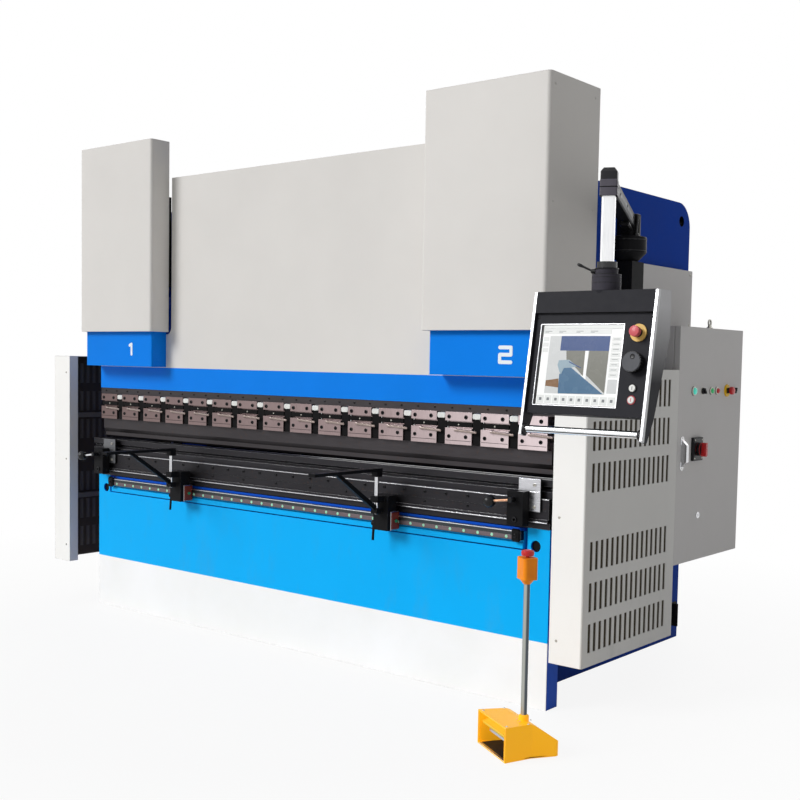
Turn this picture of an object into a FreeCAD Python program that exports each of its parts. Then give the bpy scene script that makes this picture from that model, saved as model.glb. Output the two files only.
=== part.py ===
import FreeCAD, Part
import math
import os
from FreeCAD import Vector

# Hydraulic press brake, 3.2 m bending length.
# Millimetres. X runs along the bending line, +Y goes from the operator into the machine, +Z is up.
# The origin is on the floor under the middle of the bending line.

# General clearances
SEAT_GAP = 0.3
RUN_GAP = 0.3
OVERLAP = 1.0
RIGHT_ANGLE = 90.0
SAME_POINT = 1e-6
ROUND_SIDES = 24
SMALL_ROUND_SIDES = 12

# Bed: the lower beam
BED_LENGTH = 3200.0
BED_THICK = 90.0
BED_HEIGHT = 785.0
RECESS_LEFT_MARGIN = 107.0
RECESS_RIGHT_MARGIN = 114.0
RECESS_DEPTH = 25.0
RECESS_HEIGHT = 102.0
BED_HOLE_RADIUS = 25.0
BED_HOLE_FROM_END = 71.0
BED_HOLE_DROP = 78.0

# Side frames
FRAME_FROM_BED_END = 200.0
FRAME_THICK = 40.0
FRAME_DEPTH = 1560.0
UPPER_JAW_HEIGHT = 865.0
FRAME_CORNER_RADIUS = 130.0
THROAT_BACK = 420.0
THROAT_BELOW_BED = 45.0
THROAT_BELOW_SHOULDER = 120.0
THROAT_RADIUS = 110.0
UPPER_JAW_FRONT = 140.0
LIFTING_HOLE_RADIUS = 27.0
LIFTING_HOLE_FROM_REAR = 101.0
LIFTING_HOLE_FROM_TOP = 97.0
FOOT_WIDTH = 110.0
FOOT_LENGTH = 200.0
FOOT_THICK = 30.0
FOOT_SET_IN = 20.0
ANCHOR_HOLE_RADIUS = 16.0

# Ram: the upper beam
RAM_THICK = 66.0
RAM_SHOULDER_HEIGHT = 317.0
RAM_CENTRE_HEIGHT = 1187.0
RAM_CENTRE_GAP = 16.0
RAM_CORNER_RADIUS = 40.0

# Front boxes on the ram, which telescope into the cylinder covers
RAM_BOX_WIDTH = 610.0
RAM_BOX_FRONT = 133.0
RAM_BOX_LIFT = 132.0
RAM_BOX_HEIGHT = 465.0
RAM_BOX_SHEET = 4.0
RAM_BOX_BEND = 10.0

# Cylinders and their covers
CYLINDER_FROM_FRAME = 110.0
CYLINDER_RADIUS = 105.0
CYLINDER_LIFT = 180.0
CYLINDER_HEIGHT = 620.0
CYLINDER_BLOCK_WIDTH = 250.0
CYLINDER_NOSE = 100.0
PISTON_ROD_RADIUS = 60.0
PISTON_ROD_ENTRY = 260.0
BORE_END = 140.0
COVER_WIDTH = 660.0
COVER_PAST_RAM = 21.0
COVER_FRONT = 163.0
COVER_BACK = 237.0
COVER_LIFT = 12.0
COVER_HEADROOM = 269.0
COVER_SHEET = 3.0
COVER_BEND = 18.0
COVER_RAM_GAP = 6.0
COVER_SHELF_DEPTH = 120.0
COVER_SHELF_THICK = 5.0

# Ram guides on the frames
GUIDE_WIDTH = 70.0
GUIDE_LIFT = 30.0
GUIDE_END_GAP = 10.0

# Upper tooling
HOLDER_STRIP_HEIGHT = 35.0
HOLDER_STRIP_THICK = 60.0
CLAMP_PITCH = 200.0
CLAMP_WIDTH = 150.0
CLAMP_ROW_MARGIN = 20.0
CLAMP_HEIGHT = 147.0
CLAMP_BODY_THICK = 50.0
CLAMP_PLATE_THICK = 22.0
CLAMP_UPPER_HEIGHT = 40.0
CLAMP_LOWER_HEIGHT = 74.0
TANG_HEIGHT = 34.0
TANG_THICK = 14.0
WEDGE_SIZE = 28.0
WEDGE_THICK = 34.0
PUNCH_ABOVE_DIE = 12.0
PUNCH_HEIGHT = 110.7
PUNCH_BODY_THICK = 44.0
PUNCH_STEP_HEIGHT = 52.0
PUNCH_BLADE_THICK = 18.0
PUNCH_SLOPE_HEIGHT = 22.0
PUNCH_TIP_ANGLE = 86.0
PUNCH_TIP_RADIUS = 1.0
PUNCH_BEYOND_CLAMPS = 10.0
PUNCH_SHOULDER_GAP = 0.3

# Lower tooling
HOLDER_BASE_THICK = 100.0
HOLDER_BASE_HEIGHT = 28.0
HOLDER_LEDGE_THICK = 140.0
HOLDER_LEDGE_HEIGHT = 16.0
HOLDER_TOP_THICK = 120.0
HOLDER_HEIGHT = 132.0
DIE_SIZE = 81.0
DIE_LEFT_OVERHANG = 58.0
DIE_RIGHT_OVERHANG = 12.0
DIE_TOP_V = 32.0
DIE_SIDE_V = 24.0
DIE_BOTTOM_V = 16.0
DIE_V_ANGLE = 86.0

# Table clamps with their ball levers
TABLE_CLAMP_WIDTH = 82.0
TABLE_CLAMP_DEPTH = 48.0
TABLE_CLAMP_LIFT = 12.0
TABLE_CLAMP_HEIGHT = 149.0
TABLE_CLAMP_FROM_END = 94.0
TABLE_CLAMP_PLATE_HEIGHT = 112.0
TABLE_CLAMP_PLATE_RISE = 4.0
TABLE_CLAMP_PLATE_WIDTH = 112.0
TABLE_CLAMP_PLATE_SHIFT = 27.0
LEVER_AXIS_UP = 115.0
LEVER_BOSS_RADIUS = 11.0
LEVER_BOSS_ENTRY = 15.0
LEVER_ROD_RADIUS = 6.0
LEVER_LENGTH = 110.0
LEVER_KNOB_RADIUS = 26.0
LEVER_KNOB_SIDES = 8
LEVER_KNOB_GAP = 6.0
LEVER_DROP_ANGLE = 8.0

# Guide rail of the front supports
RAIL_FROM_BED_END = 133.0
RAIL_DROP = 57.0
RAIL_HEIGHT = 40.0
RAIL_DEPTH = 25.0
CARRIER_DROP = 95.0
CARRIER_HEIGHT = 90.0
CARRIER_LIP_HEIGHT = 26.0
CARRIER_LIP_DEPTH = 8.0

# Front supports
SUPPORT_LEFT_AT = -771.0
SUPPORT_RIGHT_AT = 723.0
CARRIAGE_WIDTH = 90.0
CARRIAGE_DEPTH = 62.0
CARRIAGE_BELOW_RAIL = 28.0
CARRIAGE_HEIGHT = 165.0
CARRIAGE_JAW = 12.0
LEDGE_CLEARANCE = 6.0
SUPPORT_ROD_RADIUS = 10.0
SUPPORT_ROD_FORWARD = 30.0
SUPPORT_ROD_LIFT = 52.0
SUPPORT_ROD_LENGTH = 200.0
SUPPORT_BRACKET_HEIGHT = 30.0
SUPPORT_BRACKET_WIDTH = 46.0
SUPPORT_BRACKET_LIFT = 107.0
SUPPORT_BAR_LENGTH = 450.0
SUPPORT_BAR_WIDTH = 40.0
SUPPORT_BAR_THICK = 14.0
SUPPORT_BRACE_THICK = 16.0
SUPPORT_BRACE_REACH = 270.0
SUPPORT_BRACE_DROP = 196.0
SUPPORT_SLEEVE_HALF = 18.0
SUPPORT_SLEEVE_HEIGHT = 26.0
SUPPORT_LEVER_RADIUS = 6.0
SUPPORT_LEVER_LENGTH = 80.0
SUPPORT_LEVER_BOSS = 13.0

# Side guards
GUARD_WIDTH = 160.0
GUARD_DEPTH = 824.0
GUARD_FRONT = 83.0
GUARD_HEIGHT = 1251.0
GUARD_RIGHT_BOTTOM = 225.0
GUARD_LEFT_BOTTOM = 237.0
GUARD_RIGHT_FROM_BED = 32.0
GUARD_LEFT_FROM_BED = 190.0
GUARD_LEFT_FORWARD = 40.0
GUARD_SHEET = 3.0
GUARD_BEND = 8.0
GUARD_FLANGE = 58.0
GUARD_REAR_RETURN = 50.0
SLOT_WIDTH = 11.0
SLOT_HEIGHT = 122.0
SLOT_PITCH = 45.0
SLOT_MARGIN = 78.0
SLOT_REAR_MARGIN = 55.0
SLOT_ROW_PITCH = 174.0
SLOT_BOTTOM_MARGIN = 59.0
SLOT_TOP_MARGIN = 45.0
SLOT_ROWS_IN_GROUP = 3
STIFFENER_DEPTH = 24.0
STIFFENER_HEIGHT = 30.0
STIFFENER_SHEET = 3.0
BRACKET_SIZE = 50.0
BRACKET_WALL = 5.0
BRACKET_BACK = 560.0

# Electrical cabinet
CABINET_FRONT = 764.0
CABINET_WIDTH = 713.0
CABINET_BOTTOM = 551.0
CABINET_HEIGHT = 1131.0
CABINET_DEPTH = 348.0
CABINET_SHEET = 3.0
CABINET_LIP = 25.0
DOOR_THICK = 28.0
DOOR_SHEET = 3.0
DOOR_GAP = 2.0
HINGE_RADIUS = 8.0
HINGE_PIN_RADIUS = 4.0
HINGE_PIN_GAP = 0.1
HINGE_LENGTH = 45.0
HINGE_FROM_END = 170.0
HINGE_OUT = 12.0
HINGE_LEAF = 4.0
MOUNTING_PLATE_THICK = 3.0
MOUNTING_PLATE_MARGIN = 50.0
MOUNTING_PLATE_STANDOFF = 20.0
MOUNTING_STUD = 14.0
HANDLE_HEIGHT = 138.0
HANDLE_WIDTH = 24.0
HANDLE_DEPTH = 30.0
HANDLE_CORNER = 10.0
HANDLE_FROM_EDGE = 53.0
HANDLE_UP = 530.0
SWITCH_WIDTH = 100.0
SWITCH_HEIGHT = 112.0
SWITCH_BASE_THICK = 14.0
SWITCH_UP = 545.0
SWITCH_FROM_EDGE = 200.0
SWITCH_KNOB_RADIUS = 32.0
SWITCH_KNOB_DEPTH = 20.0
SWITCH_GRIP_WIDTH = 16.0
SWITCH_GRIP_DEPTH = 24.0
SWITCH_SHAFT_RADIUS = 6.0
CONTROL_ABOVE_SWITCH = 280.0
CONTROL_OFFSETS = (158.0, 256.0, 352.0, 417.0, 617.0)
CONTROL_RADIUS = 16.0
CONTROL_DEPTH = 22.0
STOP_OFFSET = 536.0
STOP_RING_RADIUS = 31.0
STOP_RING_DEPTH = 6.0
STOP_STEM_RADIUS = 9.0
STOP_HEAD_RADIUS = 20.0
STOP_DEPTH = 40.0
STOP_HEAD_HEIGHT = 18.0
STOP_TRAVEL = 4.0

# Service panel on the right frame
PANEL_ABOVE_CABINET = 8.0
PANEL_HEIGHT = 313.0
PANEL_FRONT = 925.0
PANEL_DEPTH = 625.0
PANEL_THICK = 50.0

# Pendant: column, arm, post and console
COLUMN_FROM_FRAME = 210.0
COLUMN_Y = 540.0
COLUMN_SIZE = 110.0
COLUMN_BOTTOM = 1500.0
COLUMN_HEIGHT = 466.0
COLUMN_BRACKET_LIFT = 40.0
COLUMN_BRACKET_HEIGHT = 120.0
COLUMN_PLATE_SIZE = 200.0
COLUMN_PLATE_THICK = 15.0
HUB_RADIUS = 85.0
HUB_HEIGHT = 155.0
HUB_TAPER = 40.0
HUB_PIN_RADIUS = 25.0
HUB_PIN_LENGTH = 30.0
POST_FROM_COLUMN = 410.0
POST_FORWARD = 903.0
ARM_WIDTH = 60.0
ARM_HEIGHT = 60.0
ELBOW_SIZE = 62.0
ELBOW_HEIGHT = 104.0
ELBOW_BEVEL = 14.0
POST_SIZE = 50.0
POST_LENGTH = 274.0
POST_CORNER = 8.0
COLLAR_RADIUS = 55.0
COLLAR_HEIGHT = 86.0
COLLAR_STEP = 24.0
COLLAR_STEP_RADIUS = 42.0
NECK_RADIUS = 38.0
NECK_HEIGHT = 22.0
CONSOLE_WIDTH = 504.0
CHEEK_THICK = 12.0
CONSOLE_SHIFT = 18.0
CONSOLE_BACK = 45.0
CONSOLE_TOP_DEPTH = 98.0
CONSOLE_TILT = 9.7
HOOD_HEIGHT = 82.0
PANEL_LENGTH = 388.0
PANEL_SET_BACK = 14.0
CONSOLE_LOWER_DEPTH = 55.0
CHEEK_LENGTH = 556.0
CHEEK_TIP = 34.0
CHEEK_CORNER = 6.0
CHEEK_TIP_CORNER = 8.0
CHEEK_INNER_CORNER = 20.0
GRIP_RADIUS = 14.0
GRIP_UP = 22.0
GRIP_BACK = 20.0
SCREEN_WIDTH = 359.0
SCREEN_HEIGHT = 312.0
SCREEN_LEFT = 27.0
SCREEN_DROP = 43.0
SCREEN_SINK = 3.0
DIAL_RADIUS = 39.0
DIAL_DEPTH = 28.0
DIAL_FLUTES = 24
DIAL_FLUTE_DEPTH = 1.5
DIAL_SHAFT_RADIUS = 8.0
DIAL_SHAFT_LENGTH = 6.0
DIAL_DROP = 190.0
CONTROL_COLUMN_FROM_RIGHT = 56.0
PENDANT_STOP_DROP = 78.0
PENDANT_STOP_RING = 33.0

# Back gauge
GAUGE_RAIL_FROM_CENTRE = 1000.0
GAUGE_RAIL_WIDTH = 90.0
GAUGE_RAIL_HEIGHT = 70.0
GAUGE_RAIL_LENGTH = 640.0
GAUGE_RAIL_DROP = 15.0
GAUGE_BEAM_FROM_FRAME = 110.0
GAUGE_BEAM_SIZE = 90.0
GAUGE_BEAM_BACK = 600.0
GAUGE_FINGER_FROM_CENTRE = 520.0
GAUGE_FINGER_WIDTH = 70.0
GAUGE_FINGER_LENGTH = 300.0
GAUGE_FINGER_THICK = 30.0
GAUGE_POST_SIZE = 60.0

# Cross beams, oil tank, motor
CROSS_BEAM_THICK = 30.0
CROSS_BEAM_HEIGHT = 420.0
CROSS_BEAM_FLANGE = 90.0
CROSS_BEAM_LIFT = 40.0
MIDDLE_BEAM_FROM_THROAT = 60.0
REAR_BEAM_SET_IN = 65.0
TANK_FRONT = 180.0
TANK_DEPTH = 400.0
TANK_LIFT = 350.0
TANK_HEIGHT = 430.0
TANK_RADIUS = 30.0
TANK_LID_THICK = 12.0
TANK_LID_RIM = 20.0
FILLER_RADIUS = 35.0
FILLER_HEIGHT = 40.0
MOTOR_RADIUS = 110.0
MOTOR_LENGTH = 360.0
MOTOR_AT = 420.0
MOTOR_LIFT = 130.0
PUMP_RADIUS = 65.0
PUMP_LENGTH = 160.0
MOTOR_FOOT_WIDTH = 180.0
MOTOR_FIN_COUNT = 18
MOTOR_FIN_HEIGHT = 12.0
MOTOR_COWL_LENGTH = 80.0
MOTOR_BOX_SIZE = 90.0
MOTOR_BOX_HEIGHT = 45.0

# Foot pedal
PEDAL_X = 1739.0
PEDAL_Y = -647.0
PEDAL_TURN = -30.0
PEDAL_WIDTH = 250.0
PEDAL_WAIST = 18.0
PEDAL_DEPTH = 235.0
PEDAL_FRONT_HEIGHT = 140.0
PEDAL_REAR_HEIGHT = 62.0
PEDAL_FLAT = 120.0
PEDAL_WALL = 4.0
PEDAL_CURVE = 60.0
PEDAL_REAR_CORNER = 20.0
PEDAL_FOOT_HEIGHT = 8.0
PEDAL_FOOT_RADIUS = 14.0
PEDAL_FOOT_MARGIN = 30.0
PEDAL_FLOOR = 4.0
TREAD_WIDTH = 150.0
TREAD_LENGTH = 165.0
TREAD_THICK = 8.0
TREAD_AXIS_HEIGHT = 34.0
TREAD_AXIS_BACK = 190.0
TREAD_ANGLE = 11.0
TREAD_PIN_RADIUS = 5.0
TREAD_BOSS_RADIUS = 11.0
TREAD_EAR_THICK = 8.0
PEDAL_POST_RADIUS = 12.0
PEDAL_POST_BACK = 112.0
PEDAL_POST_SIDE = 48.0
PEDAL_POST_TOP = 661.0
PEDAL_SOCKET_RADIUS = 20.0
PEDAL_SOCKET_HEIGHT = 16.0
STOP_BOX_WIDTH = 72.0
STOP_BOX_DEPTH = 60.0
STOP_BOX_HEIGHT = 82.0
STOP_BOX_CORNER = 14.0
STOP_BOX_CONE = 22.0
PEDAL_STOP_STEM = 8.0
PEDAL_STOP_HEAD = 24.0
PEDAL_STOP_LIFT = 8.0
PEDAL_STOP_HEAD_HEIGHT = 16.0
PEDAL_STOP_ENTRY = 3.0
PEDAL_STOP_TRAVEL = 3.0


def save(shape, node):
    """Write one node's solids as a STEP file."""
    shape.exportStep("parts/" + node + ".step")


def block(x0, x1, y0, y1, z0, z1):
    """Box between two corners."""
    return Part.makeBox(x1 - x0, y1 - y0, z1 - z0, Vector(x0, y0, z0))


def bar(radius, start, end):
    """Round bar from one point to another."""
    axis = end.sub(start)
    return Part.makeCylinder(radius, axis.Length, start, axis)


def many_sided(radius, sides, start, end):
    """Bar with flat sides from one point to another, its corners on the given radius."""
    axis = end.sub(start)
    points = []
    for index in range(sides):
        turn = 2 * math.pi * (index + 0.5) / sides
        points.append(Vector(radius * math.cos(turn), radius * math.sin(turn), 0))
    points.append(points[0])
    prism = Part.Face(Part.makePolygon(points)).extrude(Vector(0, 0, axis.Length))
    prism.Placement = FreeCAD.Placement(start, FreeCAD.Rotation(Vector(0, 0, 1), axis))
    return prism


def join(shapes):
    """Fuse touching shapes into one clean solid."""
    whole = shapes[0].fuse(shapes[1:])
    return whole.removeSplitter()


def outline(corners):
    """Closed wire through corners given as (point, radius), each corner rounded to its radius."""
    count = len(corners)
    starts = []
    arcs = []
    ends = []
    for index in range(count):
        point, radius = corners[index]
        before = corners[index - 1][0].sub(point).normalize()
        after = corners[(index + 1) % count][0].sub(point).normalize()
        if radius <= 0:
            starts.append(point)
            ends.append(point)
            arcs.append(None)
            continue
        half = before.getAngle(after) / 2
        reach = radius / math.tan(half)
        start = point.add(before.multiply(reach))
        end = point.add(after.multiply(reach))
        middle_way = start.add(end).multiply(0.5).sub(point).normalize()
        middle = point.add(middle_way.multiply(radius / math.sin(half) - radius))
        starts.append(start)
        ends.append(end)
        arcs.append(Part.Arc(start, middle, end).toShape())
    edges = []
    for index in range(count):
        if arcs[index] is not None:
            edges.append(arcs[index])
        following = starts[(index + 1) % count]
        if ends[index].distanceToPoint(following) > SAME_POINT:
            edges.append(Part.LineSegment(ends[index], following).toShape())
    return Part.Wire(Part.__sortEdges__(edges))


def side_prism(corners, x0, x1):
    """Prism along X of an outline given as (y, z, radius)."""
    wire = outline([(Vector(x0, y, z), r) for y, z, r in corners])
    return Part.Face(wire).extrude(Vector(x1 - x0, 0, 0))


def front_prism(corners, y0, y1):
    """Prism along Y of an outline given as (x, z, radius)."""
    wire = outline([(Vector(x, y0, z), r) for x, z, r in corners])
    return Part.Face(wire).extrude(Vector(0, y1 - y0, 0))


def plan_prism(corners, z0, z1):
    """Upright prism of an outline given as (x, y, radius)."""
    wire = outline([(Vector(x, y, z0), r) for x, y, r in corners])
    return Part.Face(wire).extrude(Vector(0, 0, z1 - z0))


def mirrored(shape):
    """The same piece on the other side of the machine."""
    return shape.mirror(Vector(0, 0, 0), Vector(1, 0, 0))


# Sides of the main pieces, worked out from the sizes above
BED_HALF = BED_LENGTH / 2
BED_FRONT = -BED_THICK / 2
BED_BACK = BED_THICK / 2
FRAME_OUTER = BED_HALF - FRAME_FROM_BED_END
FRAME_INNER = FRAME_OUTER - FRAME_THICK
FRAME_REAR = BED_BACK + FRAME_DEPTH
RAM_FRONT = -RAM_THICK / 2
RAM_BACK = RAM_THICK / 2
RAM_HALF = BED_HALF
COVER_OUTER = RAM_HALF + COVER_PAST_RAM
COVER_INNER = COVER_OUTER - COVER_WIDTH
RAM_BOX_INNER = RAM_HALF - RAM_BOX_WIDTH
CYLINDER_FROM_CENTRE = FRAME_OUTER - CYLINDER_FROM_FRAME
RAIL_HALF_LENGTH = BED_HALF - RAIL_FROM_BED_END

# Heights, from the bed upwards
HOLDER_TOP = BED_HEIGHT + HOLDER_HEIGHT
DIE_TOP = HOLDER_TOP + DIE_SIZE
PUNCH_TIP = DIE_TOP + PUNCH_ABOVE_DIE
CLAMP_BOTTOM = PUNCH_TIP + PUNCH_HEIGHT + PUNCH_SHOULDER_GAP
RAM_BOTTOM = CLAMP_BOTTOM + CLAMP_HEIGHT + HOLDER_STRIP_HEIGHT
RAM_SHOULDER = RAM_BOTTOM + RAM_SHOULDER_HEIGHT
RAM_TOP = RAM_BOTTOM + RAM_CENTRE_HEIGHT
CYLINDER_BOTTOM = RAM_SHOULDER + CYLINDER_LIFT
CYLINDER_TOP = CYLINDER_BOTTOM + CYLINDER_HEIGHT
THROAT_LOW = BED_HEIGHT - THROAT_BELOW_BED
THROAT_HIGH = RAM_SHOULDER - THROAT_BELOW_SHOULDER
FRAME_HEIGHT = THROAT_HIGH + UPPER_JAW_HEIGHT
TANK_BOTTOM = THROAT_HIGH + TANK_LIFT
RAIL_BOTTOM = BED_HEIGHT - RAIL_DROP


def side_frame():
    """Right C-shaped side plate with its throat, lifting hole and two feet."""
    corners = [
        (BED_BACK, 0, 0),
        (FRAME_REAR, 0, 0),
        (FRAME_REAR, FRAME_HEIGHT, FRAME_CORNER_RADIUS),
        (UPPER_JAW_FRONT, FRAME_HEIGHT, 0),
        (UPPER_JAW_FRONT, THROAT_HIGH, 0),
        (THROAT_BACK, THROAT_HIGH, THROAT_RADIUS),
        (THROAT_BACK, THROAT_LOW, THROAT_RADIUS),
        (BED_BACK, THROAT_LOW, 0),
    ]
    plate = side_prism(corners, FRAME_INNER, FRAME_OUTER)
    hole_y = FRAME_REAR - LIFTING_HOLE_FROM_REAR
    hole_z = FRAME_HEIGHT - LIFTING_HOLE_FROM_TOP
    hole = bar(
        LIFTING_HOLE_RADIUS,
        Vector(FRAME_INNER - OVERLAP, hole_y, hole_z),
        Vector(FRAME_OUTER + OVERLAP, hole_y, hole_z),
    )
    pieces = [plate.cut(hole)]
    for foot_y in (BED_BACK + FOOT_SET_IN, FRAME_REAR - FOOT_SET_IN - FOOT_LENGTH):
        foot = block(
            FRAME_INNER - FOOT_WIDTH, FRAME_INNER, foot_y, foot_y + FOOT_LENGTH, 0, FOOT_THICK
        )
        middle = Vector(FRAME_INNER - FOOT_WIDTH / 2, foot_y + FOOT_LENGTH / 2, -OVERLAP)
        anchor = Part.makeCylinder(ANCHOR_HOLE_RADIUS, FOOT_THICK + 2 * OVERLAP, middle)
        pieces.append(foot.cut(anchor))
    return join(pieces)


def bed_plate():
    """Lower beam: a thick plate with the rail recess in its top front edge and two crane holes."""
    plate = block(-BED_HALF, BED_HALF, BED_FRONT, BED_BACK, 0, BED_HEIGHT)
    recess = block(
        -BED_HALF + RECESS_LEFT_MARGIN,
        BED_HALF - RECESS_RIGHT_MARGIN,
        BED_FRONT - OVERLAP,
        BED_FRONT + RECESS_DEPTH,
        BED_HEIGHT - RECESS_HEIGHT,
        BED_HEIGHT + OVERLAP,
    )
    plate = plate.cut(recess)
    for side in (-1, 1):
        hole_x = side * (BED_HALF - BED_HOLE_FROM_END)
        hole = bar(
            BED_HOLE_RADIUS,
            Vector(hole_x, BED_FRONT - OVERLAP, BED_HEIGHT - BED_HOLE_DROP),
            Vector(hole_x, BED_BACK + OVERLAP, BED_HEIGHT - BED_HOLE_DROP),
        )
        plate = plate.cut(hole)
    return plate


def channel_beam(back, bottom):
    """Channel between the side frames: a web with two flanges to the rear."""
    web = block(
        -FRAME_INNER, FRAME_INNER, back - CROSS_BEAM_THICK, back, bottom, bottom + CROSS_BEAM_HEIGHT
    )
    flange_front = back - CROSS_BEAM_FLANGE
    low = block(-FRAME_INNER, FRAME_INNER, flange_front, back, bottom, bottom + CROSS_BEAM_THICK)
    top = bottom + CROSS_BEAM_HEIGHT
    high = block(-FRAME_INNER, FRAME_INNER, flange_front, back, top - CROSS_BEAM_THICK, top)
    return join([web, low, high])


def cross_beams():
    """Middle and rear channels that tie the side frames together."""
    middle = channel_beam(THROAT_BACK + MIDDLE_BEAM_FROM_THROAT, CROSS_BEAM_LIFT)
    rear = channel_beam(FRAME_REAR - REAR_BEAM_SET_IN, CROSS_BEAM_LIFT)
    return Part.makeCompound([middle, rear])


def oil_tank():
    """Oil tank that spans the side frames behind the ram, with its lid and filler."""
    back = TANK_FRONT + TANK_DEPTH
    top = TANK_BOTTOM + TANK_HEIGHT
    corners = [
        (TANK_FRONT, TANK_BOTTOM, TANK_RADIUS),
        (back, TANK_BOTTOM, TANK_RADIUS),
        (back, top, 0),
        (TANK_FRONT, top, 0),
    ]
    body = side_prism(corners, -FRAME_INNER, FRAME_INNER)
    lid = block(
        -FRAME_INNER + TANK_LID_RIM,
        FRAME_INNER - TANK_LID_RIM,
        TANK_FRONT - TANK_LID_RIM,
        back + TANK_LID_RIM,
        top,
        top + TANK_LID_THICK,
    )
    filler_at = Vector(-MOTOR_AT, TANK_FRONT + TANK_DEPTH / 2, top)
    filler_top = filler_at.add(Vector(0, 0, TANK_LID_THICK + FILLER_HEIGHT))
    filler = many_sided(FILLER_RADIUS, ROUND_SIDES, filler_at, filler_top)
    return join([body, lid, filler])


def toothed_ring(inner, outer, teeth):
    """Closed polygon in the YZ plane round the origin, with square teeth between two radii."""
    points = []
    step = math.pi / teeth
    for index in range(2 * teeth):
        reach = outer if index % 2 == 0 else inner
        for turn in (step * (index - 0.5), step * (index + 0.5)):
            points.append(Vector(0, reach * math.cos(turn), reach * math.sin(turn)))
    points.append(points[0])
    return Part.Face(Part.makePolygon(points))


def pump_motor():
    """Electric motor with lengthwise cooling fins, fan cowl and terminal box, and its pump."""
    lid_top = TANK_BOTTOM + TANK_HEIGHT + TANK_LID_THICK
    axis_y = TANK_FRONT + TANK_DEPTH / 2
    axis_z = lid_top + MOTOR_LIFT
    start = Vector(MOTOR_AT, axis_y, axis_z)
    cowl_start = Vector(MOTOR_AT + MOTOR_LENGTH - MOTOR_COWL_LENGTH, axis_y, axis_z)
    end = Vector(MOTOR_AT + MOTOR_LENGTH, axis_y, axis_z)
    fins = toothed_ring(MOTOR_RADIUS - MOTOR_FIN_HEIGHT, MOTOR_RADIUS, MOTOR_FIN_COUNT)
    core = fins.extrude(Vector(MOTOR_LENGTH - MOTOR_COWL_LENGTH, 0, 0))
    core.translate(start)
    cowl = bar(MOTOR_RADIUS + SEAT_GAP, cowl_start, end)
    pump = bar(PUMP_RADIUS, Vector(MOTOR_AT - PUMP_LENGTH, axis_y, axis_z), start)
    half_foot = MOTOR_FOOT_WIDTH / 2
    foot = block(
        MOTOR_AT + MOTOR_LENGTH / 4,
        MOTOR_AT + MOTOR_LENGTH * 3 / 4,
        axis_y - half_foot,
        axis_y + half_foot,
        lid_top,
        axis_z,
    )
    half_box = MOTOR_BOX_SIZE / 2
    box_middle = MOTOR_AT + MOTOR_LENGTH / 2
    terminal_box = block(
        box_middle - half_box,
        box_middle + half_box,
        axis_y - half_box,
        axis_y + half_box,
        axis_z,
        axis_z + MOTOR_RADIUS + MOTOR_BOX_HEIGHT,
    )
    return join([core, cowl, pump, foot, terminal_box])


def ram_plate():
    """Upper beam: a plate with a tall centre and low shoulders under the cylinders."""
    centre = COVER_INNER - RAM_CENTRE_GAP
    corners = [
        (-RAM_HALF, RAM_BOTTOM, 0),
        (RAM_HALF, RAM_BOTTOM, 0),
        (RAM_HALF, RAM_SHOULDER, 0),
        (centre, RAM_SHOULDER, RAM_CORNER_RADIUS),
        (centre, RAM_TOP, 0),
        (-centre, RAM_TOP, 0),
        (-centre, RAM_SHOULDER, RAM_CORNER_RADIUS),
        (-RAM_HALF, RAM_SHOULDER, 0),
    ]
    return front_prism(corners, RAM_FRONT, RAM_BACK)


def ram_box():
    """Right front box of the ram: folded sheet, closed below and open behind and on top."""
    bottom = RAM_BOTTOM + RAM_BOX_LIFT
    top = bottom + RAM_BOX_HEIGHT
    outer = RAM_HALF + RAM_BOX_SHEET
    whole = plan_prism(
        [
            (RAM_BOX_INNER, -RAM_BOX_FRONT, RAM_BOX_BEND),
            (outer, -RAM_BOX_FRONT, RAM_BOX_BEND),
            (outer, RAM_BACK, 0),
            (RAM_BOX_INNER, RAM_BACK, 0),
        ],
        bottom,
        top,
    )
    inside = plan_prism(
        [
            (RAM_BOX_INNER + RAM_BOX_SHEET, RAM_BOX_SHEET - RAM_BOX_FRONT, RAM_BOX_BEND - RAM_BOX_SHEET),
            (RAM_HALF, RAM_BOX_SHEET - RAM_BOX_FRONT, RAM_BOX_BEND - RAM_BOX_SHEET),
            (RAM_HALF, RAM_BACK + OVERLAP, 0),
            (RAM_BOX_INNER + RAM_BOX_SHEET, RAM_BACK + OVERLAP, 0),
        ],
        bottom + RAM_BOX_SHEET,
        top + OVERLAP,
    )
    behind = block(
        RAM_BOX_INNER - OVERLAP, RAM_HALF, RAM_FRONT, RAM_BACK + OVERLAP, bottom - OVERLAP, top + OVERLAP
    )
    return whole.cut(inside).cut(behind)


def piston_rods():
    """Two chromed piston rods, standing on the ram's shoulders."""
    rods = []
    for side in (-1, 1):
        foot = Vector(side * CYLINDER_FROM_CENTRE, 0, RAM_SHOULDER)
        length = CYLINDER_BOTTOM + PISTON_ROD_ENTRY - RAM_SHOULDER
        rods.append(Part.makeCylinder(PISTON_ROD_RADIUS, length, foot))
    return Part.makeCompound(rods)


def cylinder():
    """Right cylinder: forged block on the frame's upper jaw, with a round nose and its bore."""
    foot = Vector(CYLINDER_FROM_CENTRE, 0, CYLINDER_BOTTOM)
    nose = Part.makeCylinder(CYLINDER_RADIUS, CYLINDER_NOSE, foot)
    half = CYLINDER_BLOCK_WIDTH / 2
    forging = block(
        CYLINDER_FROM_CENTRE - half,
        CYLINDER_FROM_CENTRE + half,
        -CYLINDER_RADIUS,
        UPPER_JAW_FRONT,
        CYLINDER_BOTTOM + CYLINDER_NOSE,
        CYLINDER_TOP,
    )
    bore_foot = Vector(CYLINDER_FROM_CENTRE, 0, CYLINDER_BOTTOM - OVERLAP)
    bore_height = CYLINDER_HEIGHT - BORE_END + OVERLAP
    bore = Part.makeCylinder(PISTON_ROD_RADIUS + RUN_GAP, bore_height, bore_foot)
    return join([nose, forging]).cut(bore)


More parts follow.
